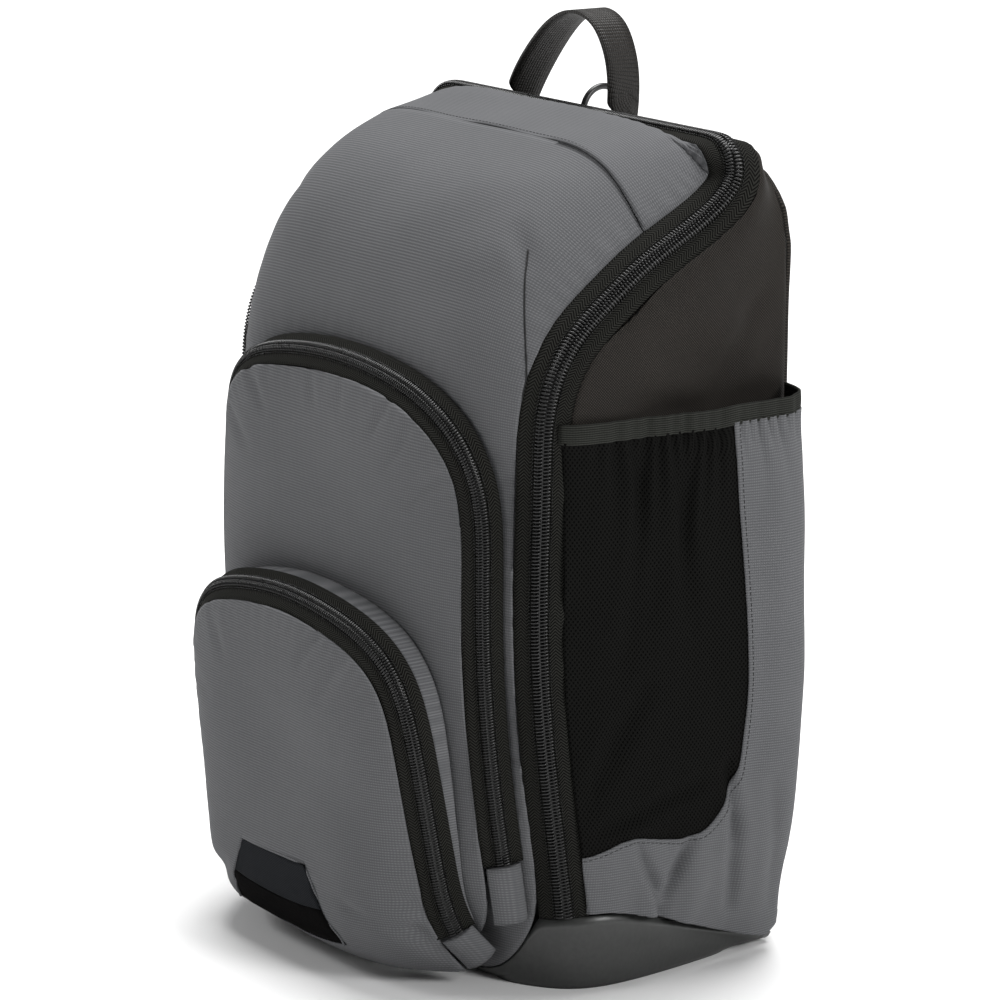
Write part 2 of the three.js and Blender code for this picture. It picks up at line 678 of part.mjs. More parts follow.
function tabSection() {
  const half = POCKET_TAPE_WIDTH * 0.42;
  const sag = -half * half / (2 * POCKET_BEND);
  const low = LAY_GAP + 0.3;
  return [[-half, sag + low], [-half * 0.5, low + TAB_HEIGHT], [half * 0.5, low + TAB_HEIGHT], [half, sag + low], [0, low]];
}

function pocketFoot(stations, depth) {
  const front = edge(stations, POCKET_TAPE_WIDTH, POCKET_BEND, -1);
  const [right, left] = [front[0], front[front.length - 1]];
  const z = POCKET_FOOT;
  return FOOT_SHARES.map((share) => {
    const end = share < 0 ? left : right;
    const blend = Math.abs(share) ** 4;
    return vec(end.x * Math.abs(share), THREE.MathUtils.lerp(depth, end.y, blend), THREE.MathUtils.lerp(z, end.z, blend));
  });
}

pocketZip('middle', middleStations, 'middle_tab');
const middleTop = middleStations[MIDDLE_ROWS.length - 1].point;
const middleMiddle = vec(0, middleTop.y - MIDDLE_CROWN, MIDDLE_HEIGHT * 0.55);
const middleFoot = pocketFoot(middleStations, -BACK_Y * 0.98);
pocketFace('middle_pocket', middleStations, middleFoot, middleMiddle, 5);

bag.updateMatrixWorld(true);
const carriers = bag.children.filter((m) => m !== back);
const lowerSize = { width: LOWER_WIDTH, height: LOWER_HEIGHT };
const lowerStations = pocketStations(LOWER_ROWS, lowerSize, carriers);
pocketZip('lower', lowerStations, 'lower_tab');
const lowerTop = lowerStations[LOWER_ROWS.length - 1].point;
const lowerMiddle = vec(0, lowerTop.y - LOWER_CROWN, LOWER_HEIGHT * 0.45);
const lowerFoot = pocketFoot(lowerStations, lowerMiddle.y * 0.8);
const lowerPocket = pocketFace('lower_pocket', lowerStations, lowerFoot, lowerMiddle, 6);

// Gray wall of the lower pocket, from its zip's rear edge and its face's foot back to the bag
function lowerGusset() {
  const raised = lowerStations.slice(1, -1);
  const rear = edge(raised, POCKET_TAPE_WIDTH, POCKET_BEND, 1);
  const leans = edgeNormals(raised, POCKET_TAPE_WIDTH, POCKET_BEND, 1);
  const start = rear.map((p, i) => p.clone().addScaledVector(leans[i], -TAPE - LAY_GAP));
  const sides = leans.map((n) => n.clone().setY(0).normalize());
  const end = start.map((p, i) => {
    const near = [start[Math.max(i - 1, 0)], start[Math.min(i + 1, start.length - 1)]];
    const places = [p, p.clone().lerp(near[0], 0.5), p.clone().lerp(near[1], 0.5)];
    const depths = places.flatMap((place) => [0, 0.5, 1, 1.5].map((share) => {
      const q = place.clone().addScaledVector(sides[i], -share * CLOTH);
      return depthAt(q.x, q.z, carriers, BACK_Y);
    }));
    return vec(p.x, Math.max(Math.min(...depths) - SEAT_GAP, p.y + CLOTH / 2), p.z);
  });
  const rows = [start, between(start, end, 0.5), end];
  const lean = (i, j) => sides[j];
  return add('lower_pocket_gusset', outward(shell(rows, CLOTH, { lean })), CLOTH_GRAY);
}

lowerGusset();

// Window at the foot of the lower pocket: a trapezium between two shares of its height, let out
// by a margin, as a bar along Y
function windowBar(low, high, margin) {
  const halfAt = (share) => THREE.MathUtils.lerp(WINDOW_FOOT_WIDTH, WINDOW_TOP_WIDTH, share) / 2 + margin;
  const heightAt = (share) => THREE.MathUtils.lerp(WINDOW_FOOT, WINDOW_TOP, share);
  const [foot, top] = [heightAt(low) - margin, heightAt(high) + margin];
  const bow = WINDOW_BOW * (1 - low);
  const shape = new THREE.Shape();
  shape.moveTo(-halfAt(low), foot + bow);
  shape.quadraticCurveTo(0, foot - bow, halfAt(low), foot + bow);
  shape.lineTo(halfAt(high), top + WINDOW_BOW * (1 - high));
  shape.quadraticCurveTo(0, top - WINDOW_BOW * (1 - high), -halfAt(high), top + WINDOW_BOW * (1 - high));
  return prism(shape, BODY_DEPTH, vec(1, 0, 0), vec(0, 0, 1), vec(0, -1, 0));
}

// A shape given in the plane of two axes, run a length along the third
function prism(shape, length, axisU, axisV, axisW) {
  const bar = new THREE.ExtrudeGeometry(shape, { depth: length, bevelEnabled: false, curveSegments: 5 });
  bar.applyMatrix4(new THREE.Matrix4().makeBasis(axisU, axisV, axisW));
  return manifoldOf(merged(bar));
}

function merged(geometry) {
  geometry.deleteAttribute('normal');
  geometry.deleteAttribute('uv');
  return mergeVertices(geometry);
}

function manifoldOf(geometry) {
  const triVerts = Uint32Array.from(geometry.getIndex().array);
  const vertProperties = Float32Array.from(geometry.getAttribute('position').array);
  return new wasm.Manifold(new wasm.Mesh({ numProp: 3, vertProperties, triVerts }));
}

function geometryOf(manifold) {
  const mesh = manifold.getMesh();
  const geometry = new THREE.BufferGeometry();
  geometry.setAttribute('position', new THREE.BufferAttribute(mesh.vertProperties, 3));
  geometry.setIndex(Array.from(mesh.triVerts));
  geometry.computeVertexNormals();
  return geometry;
}

const lowerFace = manifoldOf(lowerPocket.geometry);
add('window_panel', geometryOf(lowerFace.intersect(windowBar(WINDOW_SPLIT, 1, 0))), TWILL_BLACK);
const loopTop = WINDOW_SPLIT - SEAM_GAP / (WINDOW_TOP - WINDOW_FOOT);
add('loop_strip', geometryOf(lowerFace.intersect(windowBar(0, loopTop, 0))), MESH_BLACK);
lowerPocket.geometry = geometryOf(lowerFace.subtract(windowBar(0, 1, SEAM_GAP)));

// Bat pockets: rise is a share of the pocket's room, swell of the rise, at shares across and up
const BAT_COLUMNS = [
  { at: 0.02, rise: 0 },
  { at: 0.12, rise: 0.05 },
  { at: 0.25, rise: 0.16 },
  { at: 0.39, rise: 0.34 },
  { at: 0.53, rise: 0.57 },
  { at: 0.66, rise: 0.80 },
  { at: 0.78, rise: 0.96 },
  { at: 0.88, rise: 1 },
  { at: 0.95, rise: 0.82 },
  { at: 0.985, rise: 0.40 },
  { at: 0.995, rise: 0 },
];
const BAT_ROWS = [
  { up: 0, swell: 0.25 },
  { up: 0.09, swell: 0.48 },
  { up: 0.18, swell: 0.68 },
  { up: 0.30, swell: 0.86 },
  { up: 0.44, swell: 0.97 },
  { up: 0.58, swell: 1 },
  { up: 0.72, swell: 0.97 },
  { up: 0.86, swell: 0.90 },
  { up: 0.95, swell: 0.84 },
  { up: 1, swell: 0.82 },
];
// Creases of the gray sleeve: where they run across, how far up they reach, how deep they are
const CREASES = [
  { at: 0.39, up: 0, reach: 0.24, depth: 0.30 },
  { at: 0.66, up: 0, reach: 0.14, depth: 0.12 },
];

// Station count at a height on the main zip's right side
function levelAt(z) {
  let i = 0;
  while (i < MAIN_SIDE_COUNT - 2 && gussetEdge[i + 1].z < z) {
    i += 1;
  }
  return i + (z - gussetEdge[i].z) / (gussetEdge[i + 1].z - gussetEdge[i].z);
}

function batRow(level, swell, up) {
  return BAT_COLUMNS.map((column) => {
    let rise = column.rise * swell;
    for (const crease of CREASES) {
      const near = crease.at === column.at && up <= crease.reach;
      rise -= near ? crease.depth * (1 - up / crease.reach) : 0;
    }
    const lift = CLOTH + LAY_GAP + BAT_POCKET_ROOM * Math.max(rise, 0);
    return gussetPoint(level, column.at).addScaledVector(gussetNormal(level, column.at), lift);
  });
}

// Outline of the mesh panel seen from the side, let out by a margin, as a bar along X
function meshPanelBar(margin) {
  const rear = BACK_Y - MESH_PANEL_REAR + margin;
  const foot = MESH_PANEL_FOOT - margin;
  const front = -BODY_DEPTH;
  const shape = new THREE.Shape();
  shape.moveTo(front, foot + MESH_PANEL_RISE);
  shape.lineTo(rear - 2 * MESH_PANEL_CORNER, foot + MESH_PANEL_RISE);
  shape.lineTo(rear - MESH_PANEL_CORNER, foot);
  shape.quadraticCurveTo(rear, foot, rear, foot + MESH_PANEL_CORNER);
  shape.lineTo(rear - MESH_PANEL_TAPER, BODY_HEIGHT);
  shape.lineTo(front, BODY_HEIGHT);
  shape.closePath();
  return prism(shape, BODY_WIDTH, vec(0, 1, 0), vec(0, 0, 1), vec(1, 0, 0));
}

const topLevel = levelAt(BAT_POCKET_TOP);
const bandLevel = levelAt(BAT_POCKET_TOP + BAND_HEIGHT);
const batRows = BAT_ROWS.map((row) => batRow(row.up * topLevel, row.swell, row.up));
const batPocket = manifoldOf(outward(shell(batRows, CLOTH)));
const topSwell = BAT_ROWS[BAT_ROWS.length - 1].swell;
const clearLevel = topLevel + (bandLevel - topLevel) * SEAM_GAP / BAND_HEIGHT;
const bandRows = [clearLevel, bandLevel].map((level) => batRow(level, topSwell, 1));

function mirrored(geometry) {
  const copy = geometry.clone();
  copy.scale(-1, 1, 1);
  return outward(copy);
}

const batPieces = [
  ['mesh_panel', geometryOf(batPocket.intersect(meshPanelBar(0))), MESH_BLACK],
  ['bat_sleeve', geometryOf(batPocket.subtract(meshPanelBar(SEAM_GAP))), CLOTH_GRAY],
  ['elastic_band', outward(shell(bandRows, BAND_THICK - CLOTH / 2)), TAPE_BLACK],
];
for (const [name, geometry, finish] of batPieces) {
  add(`${name}_right`, geometry, finish);
  add(`${name}_left`, mirrored(geometry), finish);
}

// A flat band or padded strap along a smooth path; width lies along each point's across vector
function strap(knots, section, steps) {
  const path = new THREE.CatmullRomCurve3(knots.map((k) => k.point), false, 'centripetal');
  const stations = [];
  for (let i = 0; i <= steps; i += 1) {
    const t = i / steps;
    const at = t * (knots.length - 1);
    const low = Math.min(Math.floor(at), knots.length - 2);
    const wish = knots[low].across.clone().lerp(knots[low + 1].across, at - low);
    const along = path.getTangent(t);
    const normal = wish.clone().cross(along).normalize();
    stations.push({ point: path.getPoint(t), normal, across: wish.normalize() });
  }
  return sweep(stations, section);
}

function bandSection(width, thick) {
  return [[-width / 2, 0], [width / 2, 0], [width / 2, thick], [-width / 2, thick]];
}

function padSection(width, thick) {
  const half = width / 2;
  const soft = thick * 0.22;
  return [
    [-half, soft], [-half * 0.8, 0], [half * 0.8, 0], [half, soft],
    [half, thick - soft], [half * 0.8, thick], [-half * 0.8, thick], [-half, thick - soft],
  ];
}

// Haul handle: a webbing loop in the plane of the top strip, its feet on the strip.
// out and up are shares of half its span and of its rise.
const HANDLE_KNOTS = [
  { out: 1.00, up: 0 },
  { out: 1.03, up: 0.24 },
  { out: 0.98, up: 0.58 },
  { out: 0.74, up: 0.90 },
  { out: 0.36, up: 1 },
  { out: -0.06, up: 0.88 },
  { out: -0.48, up: 0.58 },
  { out: -0.84, up: 0.22 },
  { out: -1.00, up: 0 },
];

function handle() {
  const middle = (mainCount - 1) / 2;
  const across = gussetPoint(middle, 0.9).sub(gussetPoint(middle, 0.1)).normalize();
  const seat = gussetPoint(middle, 0.5);
  const heights = [-0.5, -0.25, 0, 0.25, 0.5].map((share) => {
    const p = seat.clone().addScaledVector(across, share * WEBBING_WIDTH);
    const hit = reach(vec(p.x, p.y, BODY_HEIGHT * 2), vec(0, 0, -1), bag.children);
    return hit ? hit.z - p.z : 0;
  });
  seat.z += Math.max(...heights) + LAY_GAP;
  const knots = HANDLE_KNOTS.map((k) => ({
    point: seat.clone().add(vec(HANDLE_OFFSET + k.out * HANDLE_SPAN / 2, 0, k.up * HANDLE_RISE)),
    across: across.clone().lerp(vec(0, 1, 0), k.up),
  }));
  return add('haul_handle', strap(knots, bandSection(WEBBING_WIDTH, WEBBING_THICK), 20), TAPE_BLACK);
}

bag.updateMatrixWorld(true);
handle();

// Rubber-coated hook on the top of the back, for hanging the bag on a fence
function hook() {
  const x = HOOK_OFFSET;
  const tabThick = HOOK_ROD + 2 * WEBBING_THICK;
  const y = BACK_Y + SEAM_GAP + BACK_PAD + SEAT_GAP + tabThick / 2;
  const arc = HOOK_WIDTH / 2;
  const foot = BACK_HEIGHT - HOOK_DROP;
  const path = new THREE.CurvePath();
  path.add(new THREE.LineCurve3(vec(x, y, foot), vec(x, y, BACK_HEIGHT)));
  const turn = [];
  for (let i = 0; i <= 8; i += 1) {
    const angle = Math.PI * (1 - i / 8);
    turn.push(vec(x, y + arc + arc * Math.cos(angle), BACK_HEIGHT + arc * Math.sin(angle)));
  }
  path.add(new THREE.CatmullRomCurve3(turn));
  path.add(new THREE.LineCurve3(turn[8], vec(x, turn[8].y, BACK_HEIGHT - HOOK_DROP * 0.4)));
  const rod = new THREE.Shape();
  rod.absarc(0, 0, HOOK_ROD / 2, 0, Math.PI * 2);
  const steps = 18;
  const bend = new THREE.CatmullRomCurve3(path.getSpacedPoints(steps));
  const geometry = new THREE.ExtrudeGeometry(rod, { steps, extrudePath: bend, curveSegments: 4, bevelEnabled: false });
  add('fence_hook', outward(merged(geometry)), HARD_BLACK);
  const tab = new THREE.BoxGeometry(WEBBING_WIDTH, tabThick, HOOK_DROP * 0.5);
  const slot = new THREE.BoxGeometry(HOOK_ROD + 2 * LAY_GAP, HOOK_ROD + 2 * LAY_GAP, HOOK_DROP);
  tab.translate(x, y, foot);
  slot.translate(x, y, foot + HOOK_DROP / 2 - LAY_GAP);
  const body = manifoldOf(merged(tab)).subtract(manifoldOf(merged(slot)));
  add('hook_tab', geometryOf(body), TAPE_BLACK);
}

hook();

// Shoulder straps: padded, from the top of the back down to a ladder lock, then webbing to a tab
// at the foot. up is a share of the back's height, out of half its width, and stand is how far it
// is off the back, in STRAP_STAND.
const STRAP_KNOTS = [
  { up: 0.78, out: 0.30, stand: 0 },
  { up: 0.83, out: 0.30, stand: 0 },
  { up: 0.858, out: 0.31, stand: 0.45 },
  { up: 0.82, out: 0.34, stand: 0.95 },
  { up: 0.70, out: 0.42, stand: 1 },
  { up: 0.54, out: 0.51, stand: 0.8 },
  { up: 0.42, out: 0.58, stand: 0.6 },
  { up: 0.34, out: 0.64, stand: 0.45 },
];
const WEBBING_KNOTS = [
  { up: 0.28, out: 0.64, stand: 0.85 },
  { up: 0.22, out: 0.68, stand: 0.5 },
  { up: 0.155, out: 0.73, stand: 0.15 },
  { up: 0.095, out: 0.78, stand: 0 },
];

function backKnots(rows, side, lift) {
  const face = BACK_Y + SEAM_GAP + BACK_PAD + lift;
  return rows.map((row) => ({
    point: vec(side * row.out * BACK_WIDTH / 2, face + row.stand * STRAP_STAND, row.up * BACK_HEIGHT),
    across: vec(1, 0, 0),
  }));
}

// A flat frame with a bar across, cut out of a plate with two slots, between two points
function ladderLock(top, foot) {
  const along = foot.clone().sub(top);
  const height = along.length() - 2 * SEAT_GAP;
  along.normalize();
  const plate = box(LOCK_WIDTH, height, LOCK_THICK);
  const slotHeight = height / 4;
  const slots = [-1, 1].map((side) => box(WEBBING_WIDTH + 1, slotHeight, LOCK_THICK * 2)
    .translate([0, side * slotHeight * 0.8, 0]));
  const geometry = geometryOf(plate.subtract(slots[0]).subtract(slots[1]));
  const normal = vec(1, 0, 0).cross(along).normalize();
  const place = new THREE.Matrix4().makeBasis(along.clone().cross(normal), along, normal)
    .setPosition(top.clone().lerp(foot, 0.5));
  return outward(geometry.applyMatrix4(place));
}

function box(width, height, depth) {
  return manifoldOf(merged(new THREE.BoxGeometry(width, height, depth)));
}

function shoulderStrap(side, name) {
  const pad = backKnots(STRAP_KNOTS, side, SEAT_GAP + STRAP_THICK);
  add(`shoulder_strap_${name}`, strap(pad, padSection(STRAP_WIDTH, STRAP_THICK), 16), TWILL_BLACK);
  const webbingLift = ANCHOR_THICK + 2 * SEAT_GAP;
  const low = backKnots(WEBBING_KNOTS, side, webbingLift);
  add(`strap_webbing_${name}`, strap(low, bandSection(WEBBING_WIDTH, WEBBING_THICK), 6), TAPE_BLACK);
  const padEnd = pad[pad.length - 1].point.clone().add(vec(0, STRAP_THICK / 2, 0));
  const webbingEnd = low[0].point.clone().add(vec(0, WEBBING_THICK / 2, 0));
  add(`ladder_lock_${name}`, ladderLock(padEnd, webbingEnd), HARD_BLACK);
  const anchor = new THREE.BoxGeometry(WEBBING_WIDTH * 1.2, ANCHOR_THICK, WEBBING_WIDTH);
  const end = low[low.length - 1].point;
  anchor.translate(end.x, BACK_Y + SEAM_GAP + BACK_PAD + SEAT_GAP + ANCHOR_THICK / 2, end.z);
  add(`strap_anchor_${name}`, merged(anchor), TWILL_BLACK);
}

shoulderStrap(1, 'right');
shoulderStrap(-1, 'left');

// Zip sliders near the left foot of each coil: a body over the teeth and a pull that hangs down
function slider(name, stations, up) {
  const at = stations[stations.length - 1 - up];
  const next = stations[stations.length - up];
  const down = next.point.clone().sub(at.point).normalize();
  const normal = at.normal.clone().addScaledVector(down, -at.normal.dot(down)).normalize();
  const body = box(SLIDER_WIDTH, SLIDER_LENGTH, SLIDER_THICK);
  const pull = box(SLIDER_WIDTH * 0.5, SLIDER_LENGTH * 2.2, SLIDER_THICK * 0.4)
    .translate([0, SLIDER_LENGTH * 1.3, SLIDER_THICK * 0.2]);
  const geometry = geometryOf(body.add(pull));
  const lift = COIL_SEAT + COIL_HEIGHT + LAY_GAP * 2 + SLIDER_THICK / 2;
  const place = new THREE.Matrix4().makeBasis(down.clone().cross(normal), down, normal)
    .setPosition(at.point.clone().addScaledVector(normal, lift));
  add(`${name}_slider`, outward(geometry.applyMatrix4(place)), HARD_BLACK);
}

slider('main', mainStations, 3);
slider('middle', middleStations, 3);
slider('lower', lowerStations, 3);

export default bag;
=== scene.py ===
"""Looks of a baseball bat backpack: cloth panels, zips, bat pockets, webbing and padding.

Every piece is made in metres in the row frame: +Z is up, -Y is the front with the zipped pockets.
Tables give places in millimetres.
"""

import logging
import math
from dataclasses import dataclass
from enum import Enum

import bmesh
import bpy
import numpy as np
from mathutils import Matrix, Vector, noise
from mathutils.bvhtree import BVHTree


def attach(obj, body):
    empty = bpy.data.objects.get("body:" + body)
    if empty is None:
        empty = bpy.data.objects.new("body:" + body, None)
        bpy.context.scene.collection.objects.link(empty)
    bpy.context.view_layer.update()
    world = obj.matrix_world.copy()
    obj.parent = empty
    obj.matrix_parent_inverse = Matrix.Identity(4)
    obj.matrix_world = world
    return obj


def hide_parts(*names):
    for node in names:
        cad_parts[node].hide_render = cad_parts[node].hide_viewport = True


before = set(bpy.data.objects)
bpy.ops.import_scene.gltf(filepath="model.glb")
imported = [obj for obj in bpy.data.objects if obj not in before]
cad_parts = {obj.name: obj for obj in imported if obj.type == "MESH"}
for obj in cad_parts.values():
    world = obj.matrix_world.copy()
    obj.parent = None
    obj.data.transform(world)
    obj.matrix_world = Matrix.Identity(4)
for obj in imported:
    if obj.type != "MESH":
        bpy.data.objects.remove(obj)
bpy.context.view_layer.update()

MM = 0.001
BODY = "root"
SIDES = ("right", "left")
SEED = 7
WEAVE = "weave"
# From a zip's middle towards its foot on the right
FOOT_WAY = Vector((0.1, 0.5, -1))
log = logging.getLogger("bag")


def linear(code: str) -> tuple[float, float, float, float]:
    """Turn an sRGB hex value to linear colour.

    Args:
        code: Six hex digits.

    Returns:
        Red, green, blue and alpha.
    """
    channels = [int(code[i : i + 2], 16) / 255 for i in (0, 2, 4)]
    light = [c / 12.92 if c <= 0.04045 else ((c + 0.055) / 1.055) ** 2.4 for c in channels]
    return (*light, 1.0)


class Tree:
    """A node tree with one way of adding a node."""

    def __init__(self, tree: bpy.types.NodeTree) -> None:
        """Keep the tree that nodes are added to."""
        self.tree = tree

    def add(self, kind: str, inputs: dict | None = None, settings: dict | None = None) -> bpy.types.Node:
        """Add a node with its settings and links.

        Args:
            kind: The node's type.
            inputs: Socket name or number to a value or to another node's output.
            settings: Its properties.

        Returns:
            The new node.
        """
        node = self.tree.nodes.new(kind)
        for key, value in (settings or {}).items():
            setattr(node, key, value)
        for key, value in (inputs or {}).items():
            if isinstance(value, bpy.types.NodeSocket):
                self.tree.links.new(value, node.inputs[key])
            else:
                node.inputs[key].default_value = value
        return node

    def math(self, operation: str, *values: object) -> bpy.types.NodeSocket:
        """Add a math node and give its output."""
        return self.add("ShaderNodeMath", dict(enumerate(values)), {"operation": operation}).outputs[0]


class Graph(Tree):
    """A material's node tree."""

    def __init__(self, name: str) -> None:
        """Start an empty material of that name."""
        self.material = bpy.data.materials.new(name)
        self.material.use_nodes = True
        super().__init__(self.material.node_tree)
        self.tree.nodes.clear()

    def wave(self, coordinate: bpy.types.NodeSocket, pitch: float) -> bpy.types.NodeSocket:
        """Give a sine wave from -1 to 1 along a coordinate, its pitch in millimetres."""
        return self.math("SINE", self.math("MULTIPLY", coordinate, 2 * math.pi / (pitch * MM)))

    def rib(self, coordinate: bpy.types.NodeSocket, pitch: float) -> bpy.types.NodeSocket:
        """Give a wave from 0 to 1 along a coordinate, its pitch in millimetres."""
        return self.math("MULTIPLY_ADD", self.wave(coordinate, pitch), 0.5, 0.5)


class Weave(Enum):
    """How a cloth's surface is made."""

    RIBBED = "ribbed"
    DOTTED = "dotted"
    DIAGONAL = "diagonal"
    HERRINGBONE = "herringbone"
    OPEN = "open"
    CORDED = "corded"
    PEBBLED = "pebbled"
    COATED = "coated"
    PILE = "pile"


@dataclass(frozen=True)
class Cloth:
    """A woven, knitted or coated cloth. Pitches are across and along the piece, in millimetres."""

    name: str
    low: str
    high: str
    weave: Weave
    across: float
    along: float
    roughness: float
    sheen: float
    relief: float
    mottle: float = 0.12
    gloss: float = 0.12

    def height(self, graph: Graph) -> bpy.types.NodeSocket:
        """Build the weave's height, from 0 to 1.

        Args:
            graph: The material's graph.

        Returns:
            The socket that carries the height.
        """
        place = graph.add("ShaderNodeAttribute", settings={"attribute_name": WEAVE})
        parts = graph.add("ShaderNodeSeparateXYZ", {0: place.outputs["Vector"]})
        u, v = parts.outputs[0], parts.outputs[1]
        if self.weave is Weave.RIBBED:
            stitches = graph.math("MULTIPLY_ADD", graph.rib(u, self.across), 0.6, 0.4)
            return graph.math("MULTIPLY", graph.rib(v, self.along), stitches)
        if self.weave is Weave.DOTTED:
            first = graph.rib(graph.math("ADD", u, v), self.across)
            second = graph.rib(graph.math("SUBTRACT", u, v), self.along)
            return graph.math("MULTIPLY", first, second)
        if self.weave is Weave.DIAGONAL:
            return graph.rib(graph.math("ADD", graph.math("MULTIPLY", u, 0.8), v), self.along)
        if self.weave is Weave.HERRINGBONE:
            zigzag = graph.math("PINGPONG", u, self.across * MM)
            return graph.rib(graph.math("ADD", zigzag, v), self.along)
        if self.weave is Weave.OPEN:
            # The openings fall to the low colour, partly the dark cloth behind and partly painted shade of
            # the pocket's inside
            holes = graph.math("MULTIPLY", graph.wave(u, self.across), graph.wave(v, self.along))
            return graph.math("SUBTRACT", 1.0, graph.math("SMOOTH_MAX", holes, 0.0, 0.2))
        if self.weave is Weave.CORDED:
            weft = graph.math("MULTIPLY_ADD", graph.rib(u, self.across), 0.25, 0.75)
            return graph.math("MULTIPLY", graph.rib(v, self.along), weft)
        if self.weave is Weave.PEBBLED:
            lumps = graph.math("MULTIPLY", graph.wave(u, self.across), graph.wave(v, self.along))
            return graph.math("POWER", graph.math("ABSOLUTE", lumps), 0.6)
        detail = 4.0 if self.weave is Weave.PILE else 2.0
        coordinates = graph.add("ShaderNodeTexCoord").outputs["Object"]
        grain = {"Vector": coordinates, "Scale": 1 / (self.across * MM), "Detail": detail}
        return graph.add("ShaderNodeTexNoise", grain).outputs[0]

    def material(self) -> bpy.types.Material:
        """Build the cloth's material.

        Returns:
            The finished material.
        """
        graph = Graph(self.name)
        height = self.height(graph)
        coordinates = graph.add("ShaderNodeTexCoord").outputs["Object"]
        cloud = {"Vector": coordinates, "Scale": 14.0, "Detail": 5.0, "Roughness": 0.6}
        blotch = graph.add("ShaderNodeTexNoise", cloud).outputs[0]
        fleck = {"Vector": coordinates, "Scale": 1400.0, "Detail": 1.0}
        speck = graph.add("ShaderNodeTexNoise", fleck).outputs[0]
        spread = graph.math("MULTIPLY", graph.math("SUBTRACT", blotch, 0.5), self.mottle * 2)
        spread = graph.math("MULTIPLY_ADD", graph.math("SUBTRACT", speck, 0.5), self.mottle * 2, spread)
        share = graph.math("ADD", height, spread)
        share = graph.add("ShaderNodeClamp", {"Value": share}).outputs[0]
        # The weave's height picks between the low and the high colour; on the mesh the low colour of its
        # openings carries painted shade
        shade = graph.add("ShaderNodeMix", settings={"data_type": "RGBA"})
        factor, low, high = (socket for socket in shade.inputs if socket.enabled)
        graph.tree.links.new(share, factor)
        low.default_value, high.default_value = linear(self.low), linear(self.high)
        colour = next(socket for socket in shade.outputs if socket.enabled)
        bump = graph.add("ShaderNodeBump", {"Strength": self.relief, "Distance": 0.35 * MM, "Height": height})
        cloth = graph.add(
            "ShaderNodeBsdfPrincipled",
            {
                "Base Color": colour,
                "Roughness": self.roughness,
                "Sheen Weight": self.sheen,
                "Sheen Roughness": 0.45,
                "Specular IOR Level": self.gloss,
                "Normal": bump.outputs[0],
            },
        )
        graph.add("ShaderNodeOutputMaterial", {"Surface": cloth.outputs[0]})
        return graph.material


@dataclass(frozen=True)
class Moulded:
    """A moulded or coated hard piece: nylon, acetal, rubber or painted metal."""

    name: str
    colour: str
    roughness: float
    ior: float
    grain: float
    relief: float
    metallic: float = 0.0

    def material(self) -> bpy.types.Material:
        """Build the piece's material.

        Returns:
            The finished material.
        """
        graph = Graph(self.name)
        coordinates = graph.add("ShaderNodeTexCoord").outputs["Object"]
        texture = {"Vector": coordinates, "Scale": 1 / (self.grain * MM), "Detail": 3.0}
        grain = graph.add("ShaderNodeTexNoise", texture).outputs[0]
        low, high = max(self.roughness - 0.08, 0.05), min(self.roughness + 0.1, 1.0)
        rough = graph.add("ShaderNodeMapRange", {"Value": grain, "To Min": low, "To Max": high})
        bump = graph.add("ShaderNodeBump", {"Strength": self.relief, "Distance": 0.2 * MM, "Height": grain})
        body = graph.add(
            "ShaderNodeBsdfPrincipled",
            {
                "Base Color": linear(self.colour),
                "Roughness": rough.outputs[0],
                "IOR": self.ior,
                "Metallic": self.metallic,
                "Normal": bump.outputs[0],
            },
        )
        graph.add("ShaderNodeOutputMaterial", {"Surface": body.outputs[0]})
        return graph.material


# Heather gray dobby polyester: fine level rows that show as a soft ribbed grid
GRAY = Cloth("gray_dobby_polyester", "4e4f51", "69696b", Weave.RIBBED, 1.3, 1.6, 0.85, 0.03, 0.4, 0.2)
# Black dobby polyester of the sides: brown-black with light dots where the weft floats
BLACK = Cloth("black_dobby_polyester", "11100f", "3d3833", Weave.DOTTED, 1.7, 1.7, 0.75, 0.02, 0.35)
# Padded black air cloth of the back and the straps: a close diagonal rib
PADDING = Cloth("black_diagonal_polyester", "0e0e0d", "2b2a28", Weave.DIAGONAL, 1.4, 1.6, 0.8, 0.02, 0.4)
# Polyurethane-coated base cloth: smooth, with a satin sheen and no weave to see
COATED = Cloth("coated_base_cloth", "222322", "323332", Weave.COATED, 3.0, 3.0, 0.38, 0.0, 0.25, 0.12, 0.5)
# Knitted polyester mesh of the side pocket: dark yarn, its staggered openings painted black, partly the black
# side cloth behind them and partly painted shade of the pocket's inside
MESH = Cloth("knitted_mesh", "000000", "131312", Weave.OPEN, 2.6, 3.4, 0.85, 0.0, 1.0, 0.08, 0.03)
# Woven polyester zip tape: a herringbone with a rib every few millimetres
TAPE = Cloth(
    "herringbone_zip_tape", "000000", "2b2b28", Weave.HERRINGBONE, 3.2, 1.9, 0.8, 0.0, 0.9, 0.1, 0.06
)
# Braided elastic: long ribs that follow the band
ELASTIC = Cloth("braided_elastic", "0c0d0b", "31322e", Weave.CORDED, 1.5, 1.25, 0.75, 0.0, 0.5)
# Polypropylene webbing: rows of round floats with dark gaps
WEBBING = Cloth(
    "polypropylene_webbing", "030302", "2a2724", Weave.PEBBLED, 3.4, 4.4, 0.5, 0.0, 1.0, 0.12, 0.3
)
# Black twill of the small window, with a close diagonal line
TWILL = Cloth("black_window_twill", "08090a", "24262a", Weave.DIAGONAL, 1.6, 1.8, 0.8, 0.0, 0.5, 0.1, 0.06)
# Loop fastener: a matt pile of fine loops
LOOP = Cloth("loop_fastener_pile", "010101", "131212", Weave.PILE, 1.3, 1.3, 0.95, 0.0, 1.0, 0.1, 0.02)
# Nylon coil: satin black, bright on each round tooth
NYLON = Moulded("nylon_coil", "0a0a0a", 0.28, 1.5, 4.0, 0.1)
